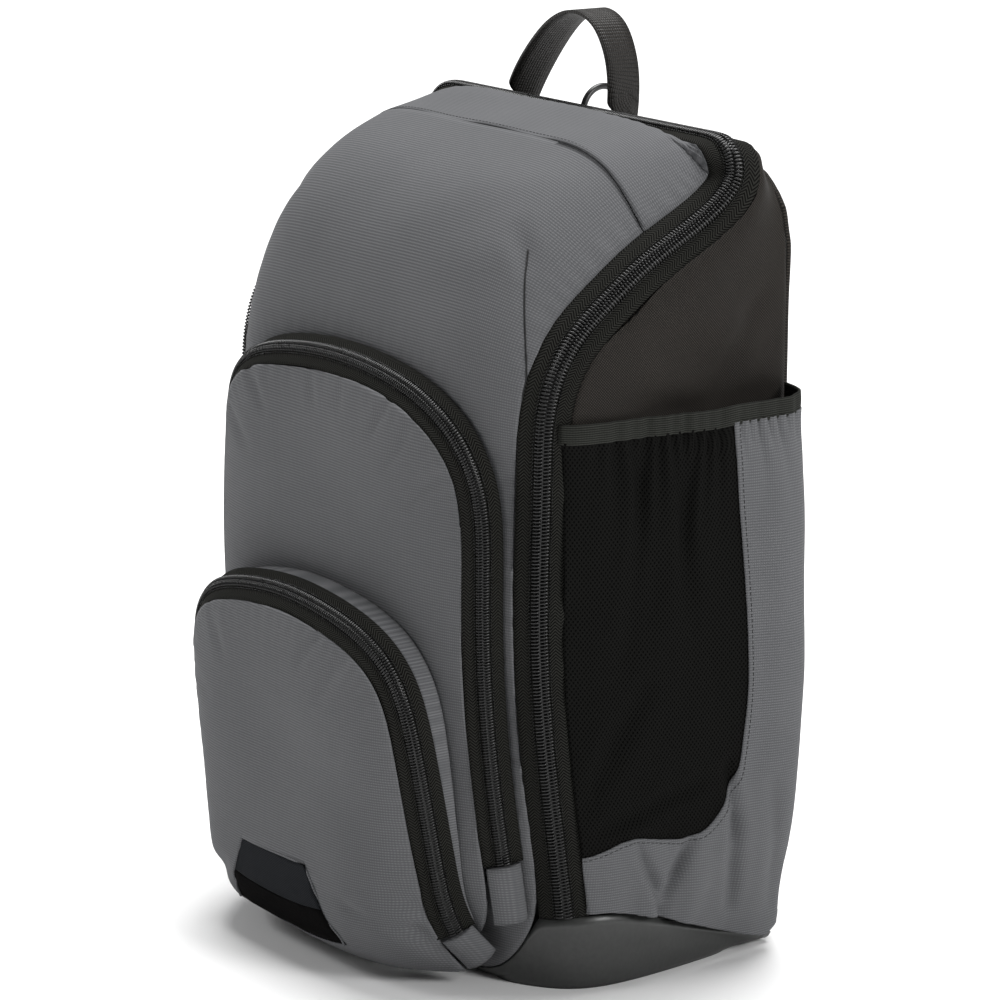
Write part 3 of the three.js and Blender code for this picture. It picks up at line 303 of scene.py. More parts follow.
# Polyester sewing thread: black, a little glossy
THREAD = Moulded("sewing_thread", "0b0b0c", 0.6, 1.4, 0.6, 0.3)
# Rubber dipped over steel wire: smooth and satin
RUBBER = Moulded("dipped_rubber", "0b0b0b", 0.35, 1.5, 8.0, 0.1)
# Moulded acetal of the strap buckles: matt with a fine grain
ACETAL = Moulded("moulded_acetal", "0e0e0e", 0.5, 1.46, 0.5, 0.25)
# Black enamelled zinc of the zip sliders
ENAMEL = Moulded("black_enamelled_zinc", "0c0c0c", 0.3, 1.5, 2.0, 0.1, 0.6)

FINISHES: dict[str, bpy.types.Material] = {}


def material_of(finish: Cloth | Moulded) -> bpy.types.Material:
    """Give a finish's material, built on first use."""
    if finish.name not in FINISHES:
        FINISHES[finish.name] = finish.material()
    return FINISHES[finish.name]


def dress(piece: bpy.types.Object, finish: Cloth | Moulded) -> None:
    """Give a piece its one material."""
    piece.data.materials.clear()
    piece.data.materials.append(material_of(finish))


class Mapping(Enum):
    """Which plane a panel's weave is laid out on."""

    FRONT = "front"
    SIDE = "side"
    TOP = "top"


def valley(away: np.ndarray) -> np.ndarray:
    """Shape a fold's section: one deep in its middle, with a low ridge on each side.

    Args:
        away: Distance from the middle, in half widths.

    Returns:
        The depth at each distance.
    """
    return 1.6 * np.exp(-(away**2)) - 0.6 * np.exp(-((away / 2.1) ** 2))


def mirrored(points: tuple) -> tuple:
    """Set points on the other side of the bag."""
    return tuple((-x, y, z) for x, y, z in points)


@dataclass(frozen=True)
class Fold:
    """A soft valley in cloth from a start to an end, in millimetres, with low ridges beside it."""

    start: tuple[float, float, float]
    end: tuple[float, float, float]
    width: float
    depth: float

    def mirrored(self) -> "Fold":
        """Give the same fold on the other side of the bag."""
        start, end = mirrored((self.start, self.end))
        return Fold(start, end, self.width, self.depth)

    def push(self, points: np.ndarray) -> np.ndarray:
        """Work out how far each point moves out.

        Args:
            points: Places in metres, one a row.

        Returns:
            The move along the outward direction, in metres.
        """
        a, b = np.array(self.start) * MM, np.array(self.end) * MM
        along = b - a
        share = np.clip((points - a) @ along / (along @ along), 0, 1)
        away = np.linalg.norm(points - a - share[:, None] * along, axis=1) / (self.width * MM)
        taper = np.sin(np.pi * np.clip(0.12 + 0.76 * share, 0, 1)) ** 0.7
        return -self.depth * MM * taper * valley(away)


def undulation(points: np.ndarray, size: float, height: float) -> np.ndarray:
    """Work out a slow, seeded unevenness.

    Args:
        points: Places in metres.
        size: Length of a swell, in millimetres.
        height: Height of a swell, in millimetres.

    Returns:
        The move along the outward direction, in metres.
    """
    shift = Vector((SEED, 2 * SEED, 3 * SEED))
    scale = 1 / (size * MM)
    return np.array([noise.noise(Vector(p) * scale + shift) for p in points]) * height * MM


@dataclass(frozen=True)
class Pucker:
    """The small waves that sewing draws into cloth beside a zip, in millimetres."""

    zip_name: str
    half_tape: float
    height: float = 0.55
    reach: float = 9
    pitch: float = 11
    drift: float = 27
    jitter: float = 8.3

    def push(self, points: np.ndarray) -> np.ndarray:
        """Work out how far each point moves out.

        Args:
            points: Places in metres.

        Returns:
            The move along the outward direction, in metres.
        """
        rings = rings_of(f"{self.zip_name}_zip_coil", 4, FOOT_WAY)
        line = spline(np.array([ring.mean(axis=0) for ring in rings]), 8)
        length = run_along(line)
        gaps = np.array([np.linalg.norm(points - spot, axis=1) for spot in line])
        nearest = gaps.argmin(axis=0)
        away = np.maximum(gaps.min(axis=0) / MM - self.half_tape, 0)
        run = length[nearest] / MM
        uneven = 1.9 * np.sin(run / self.drift) + 1.1 * np.sin(run / self.jitter)
        wave = np.sin(2 * np.pi * run / self.pitch + uneven)
        return self.height * MM * wave * np.exp(-away / self.reach) * np.clip(away / 4, 0.1, 1)


def run_along(points: np.ndarray) -> np.ndarray:
    """Give the length along a line of points at each of them."""
    return np.concatenate([[0], np.cumsum(np.linalg.norm(np.diff(points, axis=0), axis=1))])


def merged(node: str) -> bmesh.types.BMesh:
    """Copy a CAD node's mesh and join its loose triangles.

    Args:
        node: The node's name.

    Returns:
        A new bmesh that the caller frees.
    """
    shape = bmesh.new()
    shape.from_mesh(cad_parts[node].data)
    bmesh.ops.remove_doubles(shape, verts=shape.verts, dist=1e-5)
    return shape


def solid(name: str, points: np.ndarray, faces: list) -> bpy.types.Object:
    """Make a mesh object.

    Args:
        name: Its name.
        points: Its vertices in metres.
        faces: Its faces.

    Returns:
        The object, shaded smooth.
    """
    data = bpy.data.meshes.new(name)
    data.from_pydata([tuple(p) for p in points], [], [tuple(f) for f in faces])
    data.shade_smooth()
    piece = bpy.data.objects.new(name, data)
    bpy.context.scene.collection.objects.link(piece)
    return piece


def poured(name: str, shape: bmesh.types.BMesh) -> bpy.types.Object:
    """Make an object of a bmesh, shaded smooth, and free the bmesh."""
    data = bpy.data.meshes.new(name)
    shape.to_mesh(data)
    shape.free()
    data.shade_smooth()
    piece = bpy.data.objects.new(name, data)
    bpy.context.scene.collection.objects.link(piece)
    return piece


def baked(piece: bpy.types.Object) -> bpy.types.Object:
    """Turn a piece's modifiers into plain mesh."""
    graph = bpy.context.evaluated_depsgraph_get()
    data = bpy.data.meshes.new_from_object(piece.evaluated_get(graph))
    old = piece.data
    piece.modifiers.clear()
    piece.data = data
    data.name = piece.name
    bpy.data.meshes.remove(old)
    return piece


def refined(node: str, name: str, levels: int, sharp: float = 50, flat: float = 35) -> bpy.types.Object:
    """Round a CAD node's facets with a subdivision surface that keeps its rims.

    Args:
        node: The node to copy.
        name: The new piece's name.
        levels: Subdivision levels.
        sharp: Angle in degrees past which an edge stays sharp.
        flat: Angle in degrees up to which two triangles are taken as one face.

    Returns:
        The new piece as plain mesh.
    """
    shape = merged(node)
    bmesh.ops.join_triangles(
        shape, faces=shape.faces[:], angle_face_threshold=math.radians(flat), angle_shape_threshold=math.pi
    )
    crease = shape.edges.layers.float.new("crease_edge")
    for edge in shape.edges:
        if edge.is_manifold and edge.calc_face_angle(0) > math.radians(sharp):
            edge[crease] = 1
    piece = poured(name, shape)
    rounding = piece.modifiers.new("rounding", "SUBSURF")
    rounding.levels = rounding.render_levels = levels
    baked(piece)
    piece.data.shade_smooth()
    return piece


def points_of(piece: bpy.types.Object) -> np.ndarray:
    """Read a piece's vertices as rows of three."""
    flat = np.empty(len(piece.data.vertices) * 3)
    piece.data.vertices.foreach_get("co", flat)
    return flat.reshape(-1, 3)


def normals_of(piece: bpy.types.Object) -> np.ndarray:
    """Read a piece's vertex normals as rows of three."""
    flat = np.empty(len(piece.data.vertices) * 3)
    piece.data.vertices.foreach_get("normal", flat)
    return flat.reshape(-1, 3)


def place_points(piece: bpy.types.Object, points: np.ndarray) -> None:
    """Write a piece's vertices."""
    piece.data.vertices.foreach_set("co", points.ravel())
    piece.data.update()


def lay_weave(piece: bpy.types.Object, across: np.ndarray, along: np.ndarray) -> None:
    """Store where each point lies on the flat cloth.

    Args:
        piece: The mesh object.
        across: Coordinate across the cloth, in metres.
        along: Coordinate along it.
    """
    rows = np.column_stack([across, along, np.zeros(len(across))])
    layer = piece.data.attributes.new(WEAVE, "FLOAT_VECTOR", "POINT")
    layer.data.foreach_set("vector", rows.ravel())


def map_weave(piece: bpy.types.Object, mapping: Mapping) -> None:
    """Lay a panel's weave out from its place on the bag.

    Args:
        piece: The mesh object.
        mapping: The plane the cloth was cut on.
    """
    p = points_of(piece)
    if mapping is Mapping.SIDE:
        lay_weave(piece, p[:, 1], p[:, 2])
    elif mapping is Mapping.TOP:
        lay_weave(piece, p[:, 0], p[:, 1])
    else:
        # the front runs straight up and then over the hood on a quarter circle
        turn_z, turn_y, radius = 0.31, 0.06, 0.165
        angle = np.arctan2(p[:, 2] - turn_z, turn_y - p[:, 1])
        over = turn_z + radius * np.maximum(angle, 0)
        lay_weave(piece, p[:, 0], np.where(p[:, 2] > turn_z, over, p[:, 2]))


def keep(piece: bpy.types.Object, slot: str, *nodes: str) -> bpy.types.Object:
    """Fix a finished piece to the bag.

    Args:
        piece: The piece.
        slot: The record's material slot.
        *nodes: The CAD nodes that it stands for.

    Returns:
        The piece.
    """
    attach(piece, BODY)
    if nodes:
        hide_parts(*nodes)
    log.info("%s: %d faces", piece.name, len(piece.data.polygons))
    return piece


@dataclass
class Panel:
    """A cloth panel that keeps the shape of its CAD solid, rounded, folded and woven."""

    node: str
    name: str
    slot: str
    finish: Cloth
    mapping: Mapping
    levels: int = 3
    swell: float = 1.0
    swell_size: float = 70
    folds: tuple[Fold, ...] = ()
    centre: tuple[float, float, float] = (0, 20, 240)
    puckers: tuple[Pucker, ...] = ()

    def build(self) -> bpy.types.Object:
        """Make the panel.

        Returns:
            The finished piece.
        """
        piece = refined(self.node, self.name, self.levels)
        points, normals = points_of(piece), normals_of(piece)
        away = points - np.array(self.centre) * MM
        side = np.sign(np.einsum("ij,ij->i", normals, away))[:, None]
        push = undulation(points, self.swell_size, self.swell)
        for shape in (*self.folds, *self.puckers):
            push += shape.push(points)
        place_points(piece, points + normals * side * push[:, None])
        map_weave(piece, self.mapping)
        dress(piece, self.finish)
        return keep(piece, self.slot, self.node)


def spline(control: np.ndarray, per_span: int) -> np.ndarray:
    """Sample a cubic B-spline, the curve that a creased edge takes in a subdivision surface.

    Args:
        control: Control points, one a row.
        per_span: Samples between two control points.

    Returns:
        The samples.
    """
    ends = np.vstack([2 * control[0] - control[1], control, 2 * control[-1] - control[-2]])
    t = np.linspace(0, 1, per_span, endpoint=False)[:, None]
    basis = [(1 - t) ** 3, 3 * t**3 - 6 * t**2 + 4, -3 * t**3 + 3 * t**2 + 3 * t + 1, t**3]
    rows = [sum(b * ends[i + k] for k, b in enumerate(basis)) / 6 for i in range(len(control) - 1)]
    return np.vstack([*rows, control[-1][None]])


def unit(rows: np.ndarray) -> np.ndarray:
    """Scale each row to length one."""
    return rows / np.maximum(np.linalg.norm(rows, axis=1, keepdims=True), 1e-12)


def rings_of(node: str, count: int, first: Vector) -> list[np.ndarray]:
    """Read a swept CAD solid ring by ring.

    Args:
        node: The node's name.
        count: Points in a ring.
        first: Direction in which the first ring lies furthest.

    Returns:
        The rings' points in metres.
    """
    shape = merged(node)
    tip = max(shape.verts, key=lambda v: v.co.dot(first))
    level = sorted(shape.verts, key=lambda v: (v.co - tip.co).length)[:count]
    seen, rings = set(level), []
    while level:
        rings.append(np.array([tuple(v.co) for v in level]))
        found = {e.other_vert(v) for v in level for e in v.link_edges} - seen
        seen |= found
        level = list(found)
    shape.free()
    return rings


class Centreline:
    """The middle of a swept solid: points, the way across, the way out and the length."""

    def __init__(self, rings: list[np.ndarray], per_span: int) -> None:
        """Work the line out from the solid's rings.

        Args:
            rings: The solid's rings.
            per_span: Samples between two rings.
        """
        middles, across = [], []
        for ring in rings:
            gaps = np.linalg.norm(ring[:, None] - ring[None], axis=2)
            i, j = np.unravel_index(gaps.argmax(), gaps.shape)
            side = ring[j] - ring[i]
            if across and side @ across[-1] < 0:
                side = -side
            across.append(side)
            middles.append(ring.mean(axis=0))
        self.points = spline(np.array(middles), per_span)
        self.across = unit(spline(np.array(across), per_span))
        along = unit(np.gradient(self.points, axis=0))
        self.across = unit(self.across - along * np.einsum("ij,ij->i", self.across, along)[:, None])
        self.length = run_along(self.points)

    def weave(self, piece: bpy.types.Object) -> None:
        """Lay a piece's weave along this line."""
        p = points_of(piece)
        nearest = np.linalg.norm(p[:, None] - self.points[None], axis=2).argmin(axis=1)
        away = p - self.points[nearest]
        along = unit(np.gradient(self.points, axis=0))[nearest]
        length = self.length[nearest] + np.einsum("ij,ij->i", away, along)
        lay_weave(piece, np.einsum("ij,ij->i", away, self.across[nearest]), length)


def shell_faces(rows: int, columns: int) -> list:
    """List the faces of a thin closed grid: an outer skin, an inner skin after it, and rims.

    Args:
        rows: Rows of each skin.
        columns: Columns of each skin.

    Returns:
        The faces.
    """
    half = rows * columns
    faces = []
    for i in range(rows - 1):
        for j in range(columns - 1):
            a = i * columns + j
            faces.append((a, a + 1, a + columns + 1, a + columns))
            faces.append((half + a + columns, half + a + columns + 1, half + a + 1, half + a))
    last = (rows - 1) * columns
    for j in range(columns - 1):
        faces.append((j + 1, j, half + j, half + j + 1))
        faces.append((last + j, last + j + 1, half + last + j + 1, half + last + j))
    for i in range(rows - 1):
        a = i * columns
        faces.append((a, a + columns, half + a + columns, half + a))
        b = a + columns - 1
        faces.append((b + columns, b, half + b, half + b + columns))
    return faces


def thin_shell(name: str, outer: np.ndarray, inner: np.ndarray) -> bpy.types.Object:
    """Make a closed piece from two grids of points.

    Args:
        name: The piece's name.
        outer: Outer points, rows by columns by three.
        inner: Inner points, laid out the same.

    Returns:
        The piece, its faces turned outwards.
    """
    rows, columns = outer.shape[:2]
    points = np.vstack([outer.reshape(-1, 3), inner.reshape(-1, 3)])
    piece = solid(name, points, shell_faces(rows, columns))
    turn_out(piece)
    return piece


def turn_out(piece: bpy.types.Object) -> None:
    """Turn a closed piece's faces outwards."""
    shape = bmesh.new()
    shape.from_mesh(piece.data)
    if shape.calc_volume(signed=True) < 0:
        bmesh.ops.reverse_faces(shape, faces=shape.faces[:])
    shape.to_mesh(piece.data)
    shape.free()


class Repeat(Tree):
    """Geometry Nodes that set one small shape on each of a row of points."""

    def __init__(self) -> None:
        """Build the tree with its named inputs."""
        super().__init__(bpy.data.node_groups.new("repeat_along_points", "GeometryNodeTree"))
        kinds = (
            ("Geometry", "NodeSocketGeometry"),
            ("Shape", "NodeSocketObject"),
            ("Size", "NodeSocketFloat"),
            ("Variation", "NodeSocketFloat"),
            ("Seed", "NodeSocketInt"),
            ("Material", "NodeSocketMaterial"),
        )
        for name, kind in kinds:
            self.tree.interface.new_socket(name, in_out="INPUT", socket_type=kind)
        self.tree.interface.new_socket("Geometry", in_out="OUTPUT", socket_type="NodeSocketGeometry")
        start = self.add("NodeGroupInput")
        shape = self.add("GeometryNodeObjectInfo", {"Object": start.outputs["Shape"]})
        vector = {"data_type": "FLOAT_VECTOR"}
        facing = self.add("GeometryNodeInputNamedAttribute", {"Name": "facing"}, vector)
        along = self.add("GeometryNodeInputNamedAttribute", {"Name": "along"}, vector)
        upright = self.add(
            "FunctionNodeAlignRotationToVector", {"Vector": facing.outputs["Attribute"]}, {"axis": "Z"}
        )
        turned = self.add(
            "FunctionNodeAlignRotationToVector",
            {"Rotation": upright.outputs[0], "Vector": along.outputs["Attribute"]},
            {"axis": "Y", "pivot_axis": "Z"},
        )
        low = self.math("SUBTRACT", 1.0, start.outputs["Variation"])
        spread = self.add(
            "FunctionNodeRandomValue",
            {2: low, 3: 1.0, "Seed": start.outputs["Seed"]},
            {"data_type": "FLOAT"},
        )
        size = self.math("MULTIPLY", spread.outputs[1], start.outputs["Size"])
        placed = self.add(
            "GeometryNodeInstanceOnPoints",
            {
                "Points": start.outputs["Geometry"],
                "Instance": shape.outputs["Geometry"],
                "Rotation": turned.outputs[0],
                "Scale": size,
            },
        )
        real = self.add("GeometryNodeRealizeInstances", {0: placed.outputs[0]})
        painted = self.add(
            "GeometryNodeSetMaterial", {"Geometry": real.outputs[0], "Material": start.outputs["Material"]}
        )
        self.add("NodeGroupOutput", {0: painted.outputs[0]})

    def along(
        self,
        name: str,
        points: np.ndarray,
        along: np.ndarray,
        facing: np.ndarray,
        shape: bpy.types.Object,
        finish: Cloth | Moulded,
        variation: float = 0.0,
    ) -> bpy.types.Object:
        """Set a shape on points and make the result plain mesh.

        Args:
            name: The new piece's name.
            points: Where the shapes go.
            along: The way each shape's Y axis points.
            facing: The way its Z axis points.
            shape: The small shape, taken away by the caller at the end.
            finish: The finish of the result.
            variation: Share by which sizes vary.

        Returns:
            The new piece.
        """
        piece = solid(name, points, [])
        for label, rows in (("along", along), ("facing", facing)):
            layer = piece.data.attributes.new(label, "FLOAT_VECTOR", "POINT")
            layer.data.foreach_set("vector", rows.ravel())
        modifier = piece.modifiers.new("repeat", "NODES")
        modifier.node_group = self.tree
        values = {
            "Shape": shape,
            "Size": 1.0,
            "Variation": variation,
            "Seed": SEED,
            "Material": material_of(finish),
        }
        for item in self.tree.interface.items_tree:
            if item.in_out == "INPUT" and item.name in values:
                modifier[item.identifier] = values[item.name]
        baked(piece)
        piece.data.shade_smooth()
        return piece


def rod(name: str, line: list[tuple], radii: list[float], sides: int) -> bpy.types.Object:
    """Make a small closed rod along a line of points.

    Args:
        name: Its name.
        line: Points in millimetres.
        radii: Its radius at each point.
        sides: Sides of its section.

    Returns:
        The rod.
    """
    centre = np.array(line) * MM
    along = unit(np.gradient(centre, axis=0))
    level = unit(np.cross(along, (0.0, 1.0, 0.02)))
    rise = np.cross(along, level)
    points = []
    for c, a, b, r in zip(centre, level, rise, radii):
        for k in range(sides):
            angle = 2 * math.pi * k / sides
            points.append(c + (a * math.cos(angle) + b * math.sin(angle)) * r * MM)
    faces = []
    for i in range(len(line) - 1):
        for k in range(sides):
            n = (k + 1) % sides
            faces.append((i * sides + k, i * sides + n, (i + 1) * sides + n, (i + 1) * sides + k))
    faces.append(tuple(range(sides))[::-1])
    faces.append(tuple(len(points) - sides + k for k in range(sides)))
    piece = solid(name, np.array(points), faces)
    turn_out(piece)
    return piece


def resampled(points: np.ndarray, pitch: float) -> np.ndarray:
    """Find where along a line to put things at an even pitch.

    Args:
        points: The line.
        pitch: The spacing in millimetres.

    Returns:
        Fractional indices into the line.
    """
    length = run_along(points)
    count = max(int(length[-1] / (pitch * MM)), 2)
    wanted = (np.arange(count) + 0.5) * length[-1] / count
    return np.interp(wanted, length, np.arange(len(points)))


def at(rows: np.ndarray, index: np.ndarray) -> np.ndarray:
    """Read rows at fractional indices."""
    return np.column_stack([np.interp(index, np.arange(len(rows)), rows[:, k]) for k in range(rows.shape[1])])


@dataclass
class Zip:
    """A coil zip: two herringbone tapes, two rows of teeth and the sewing beside them."""

    name: str
    tape_width: float
    bend: float
    coil_width: float
    pitch: float
    seam_gap: float = 0.4
    seat: float = 0.6
    tape_thick: float = 1.6
    tooth_rise: float = 2.0
    steps: int = 10
    per_span: int = 6

    def node(self, part: str) -> str:
        """Name this zip's CAD node for its tape or its coil."""
        return f"{self.name}_zip_{part}"

    def stations(self) -> tuple[np.ndarray, np.ndarray, np.ndarray]:
        """Read points, ways across and ways out from the coil's wide side.

        Returns:
            Points, across and normal, one row for each ring.
        """
        points, normals = [], []
        for ring in rings_of(self.node("coil"), 4, FOOT_WAY):
            gaps = np.linalg.norm(ring[:, None] - ring[None], axis=2)
            i, j = np.unravel_index(gaps.argmax(), gaps.shape)
            top = [k for k in range(4) if k not in (i, j)]
            base = (ring[i] + ring[j]) / 2
            normals.append(ring[top].mean(axis=0) - base)
            points.append(base)
        points, normals = np.array(points), unit(np.array(normals))
        ahead = np.vstack([points[1:], points[-1:]]) - np.vstack([points[:1], points[:-1]])
        along = unit(ahead)
        across = unit(np.cross(along, normals))
        return points - normals * self.seat * MM, across, np.cross(across, along)

    def tape(self) -> bpy.types.Object:
        """Make the two tapes as one band that bends down at its edges.

        Returns:
            The tape.
        """
        points, across, normal = self.stations()
        half = (self.tape_width - self.seam_gap) / 2
        steps = np.linspace(-half, half, self.steps + 1)
        outer, inner = [], []
        for a in steps:
            sag = -a * a / (2 * self.bend)
            under = a * (1 - self.tape_thick / self.bend)
            top = points + across * a * MM + normal * sag * MM
            low = points + across * under * MM + normal * (sag - self.tape_thick) * MM
            outer.append(spline(top, self.per_span))
            inner.append(spline(low, self.per_span))
        outer, inner = np.array(outer), np.array(inner)
        piece = thin_shell(f"{self.name}_zip_tapes", outer, inner)
        along = np.tile(run_along(outer[len(steps) // 2]), 2 * len(steps))
        side = np.tile(np.repeat(steps * MM, outer.shape[1]), 2)
        lay_weave(piece, side + 0.1, along)
        dress(piece, TAPE)
        return piece

    def build(self, repeat: Repeat) -> None:
        """Make the tapes, the teeth and the sewing.

        Args:
            repeat: The Geometry Nodes that repeat a tooth.
        """
        keep(self.tape(), "zip_tape", self.node("tape"))
        points, across, normal = (spline(rows, self.per_span) for rows in self.stations())
        across, normal = unit(across), unit(normal)
        along = unit(np.gradient(points, axis=0))
        index = resampled(points, self.pitch)
        spots, outs, ahead = (at(rows, index) for rows in (points, normal, along))
        half = self.coil_width / 2
        reach = np.linspace(0.06, 1, 6)
        arc = [(half * s, 0.22 * self.pitch * s, self.tooth_rise * (1 - 0.55 * s**3)) for s in reach]
        thick = [0.30, 0.36, 0.36, 0.36, 0.34, 0.28]
        tooth = rod(f"{self.name}_tooth", arc, [self.pitch * t for t in thick], 5)
        spots = spots + outs * 0.1 * MM
        both = [
            repeat.along(f"{self.name}_teeth_{k}", spots + ahead * shift * MM, turn, outs, tooth, NYLON)
            for k, (shift, turn) in enumerate(((0.0, ahead), (self.pitch / 2, -ahead)))
        ]
        bpy.data.objects.remove(tooth)
        bed = self.bed(points, across, normal)
        coil = joined(f"{self.name}_zip_coil_teeth", [*both, bed])
        keep(coil, "coil", self.node("coil"))
        self.sewing(points, across, normal, along, repeat)

    def bed(self, points: np.ndarray, across: np.ndarray, normal: np.ndarray) -> bpy.types.Object:
        """Make the low cord that the teeth close round."""
        half = self.coil_width * 0.34
        profile = ((-half, 0.15), (-half * 0.5, 0.85), (0.0, 0.35), (half * 0.5, 0.85), (half, 0.15))
        outer = np.array([points + across * a * MM + normal * h * MM for a, h in profile])
        inner = np.array([points + across * a * MM + normal * 0.05 * MM for a, _ in profile])
        piece = thin_shell(f"{self.name}_bed", outer, inner)
        dress(piece, NYLON)
        return piece

    def sewing(
        self, points: np.ndarray, across: np.ndarray, normal: np.ndarray, along: np.ndarray, repeat: Repeat
    ) -> None:
        """Sew the coil down: a line of dots on each side of the teeth."""
        index = resampled(points, self.pitch)
        lines = []
        for side in (-1, 1):
            reach = side * (self.coil_width / 2 + 0.7)
            lines.append(at(points + across * reach * MM - normal * 0.1 * MM, index))
        spots = np.vstack(lines)
        ahead, outs = np.tile(at(along, index), (2, 1)), np.tile(at(normal, index), (2, 1))
        dot = rod("dot", [(0, -0.55, 0), (0, 0, 0.35), (0, 0.55, 0)], [0.3, 0.55, 0.3], 4)
        sewn = repeat.along(f"{self.name}_zip_sewing", spots, ahead, outs, dot, NYLON, 0.15)
        bpy.data.objects.remove(dot)
        keep(sewn, "coil")


def joined(name: str, pieces: list[bpy.types.Object]) -> bpy.types.Object:
    """Join pieces into one.

    Args:
        name: The result's name.
        pieces: What to join.

    Returns:
        The joined piece.
    """
    with bpy.context.temp_override(
        active_object=pieces[0], selected_objects=pieces, selected_editable_objects=pieces
    ):
        bpy.ops.object.join()
    pieces[0].name = pieces[0].data.name = name
    return pieces[0]


@dataclass(frozen=True)
class Gather:
    """A gather under the elastic: where it is from front to back, how far it hangs, how deep."""

    at: float
    reach: float
    depth: float
    width: float


GATHERS = (
    Gather(-52, 26, 1.4, 3.0),
    Gather(-41, 40, 2.2, 3.2),
    Gather(-30, 55, 2.8, 3.4),
    Gather(-21, 95, 3.8, 4.0),
    Gather(-13, 45, 3.0, 2.6),
    Gather(-5, 60, 3.6, 3.0),
    Gather(3, 80, 4.2, 3.4),
    Gather(11, 60, 3.4, 2.8),
    Gather(18, 50, 3.0, 2.8),
    Gather(25, 40, 2.6, 2.6),
    Gather(39, 20, 2.4, 1.9),
    Gather(45, 18, 3.0, 2.0),
    Gather(51, 26, 3.4, 2.4),
    Gather(58, 20, 3.0, 2.2),
    Gather(65, 28, 3.6, 2.6),
    Gather(72, 18, 2.4, 2.2),
    Gather(80, 22, 2.4, 2.6),
)

POCKET_FOLDS = (
    Fold((167, 15, 82), (161, 2, 52), 4.5, 5.0),
    Fold((161, 1, 53), (158, -3, 24), 4.5, 2.8),
    Fold((168, -2, 76), (162, -16, 26), 9, -3.0),
    Fold((170, 22, 64), (163, 12, 24), 8, -2.5),
    Fold((165, -22, 88), (162, -8, 58), 4, 3.2),
    Fold((162, -9, 64), (158, -1, 30), 4.5, 4.0),
    Fold((177, 36, 128), (173, 45, 80), 4, 3.6),
    Fold((173, 44, 92), (164, 48, 36), 5, 4.2),
    Fold((177, 66, 112), (170, 77, 56), 6, 2.6),
    Fold((170, 76, 64), (166, 79, 30), 6, 2.0),
    Fold((155, -60, 108), (169, -22, 180), 8, 3.0),
    Fold((160, -46, 98), (172, 16, 118), 6, 3.0),
    Fold((162, -36, 190), (171, -8, 262), 12, 1.6),
    Fold((176, 30, 150), (177, 8, 240), 12, 1.2),
    Fold((182, 64, 300), (176, 80, 70), 20, -5.0),
)


@dataclass(frozen=True)
class HemPoint:
    """A point of the hem between mesh and gray cloth, seen from the side, in millimetres."""

    y: float
    z: float


HEM = (
    HemPoint(-66, 80),
    HemPoint(-52, 83),
    HemPoint(-40, 88),
    HemPoint(-28, 92),
    HemPoint(-12, 88),
    HemPoint(4, 84),
    HemPoint(18, 85),
    HemPoint(32, 94),
    HemPoint(42, 122),
    HemPoint(46, 165),
    HemPoint(42, 226),
    HemPoint(36, 285),
    HemPoint(33, 334),
)
# The row of HEM where the foot's stretch ends and the rear's begins
HEM_CORNER = 8


class Probe:
    """Rays towards an upright axis, which tell how far out the pocket's solids lie, in metres."""

    FAR = 0.3
    RUN = 0.28

    def __init__(self, nodes: list[str], axis: tuple[float, float], sign: int) -> None:
        """Take the solids in.

        Args:
            nodes: Their CAD nodes.
            axis: Where the axis stands on the right side, in millimetres.
            sign: 1 for the right side of the bag, -1 for the left.
        """
        shape = bmesh.new()
        for node in nodes:
            shape.from_mesh(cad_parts[node].data)
        self.surface = BVHTree.FromBMesh(shape)
        shape.free()
        self.start = Vector((axis[0] * MM, axis[1] * MM, 0))
        self.sign = sign

    def reach(self, angle: float, z: float) -> float:
        """Measure how far from the axis the solids end.

        Args:
            angle: The direction in plan, in radians.
            z: The height in metres.

        Returns:
            The distance in metres, or nan where nothing is there.
        """
        way = Vector((math.cos(angle), math.sin(angle), 0))
        begin = self.start + way * self.FAR
        inwards = Vector((-way.x * self.sign, -way.y, 0))
        place, *_ = self.surface.ray_cast(Vector((begin.x * self.sign, begin.y, z)), inwards, self.RUN)
        if place is None:
            return math.nan
        return (Vector((place.x * self.sign, place.y, 0)) - self.start).length


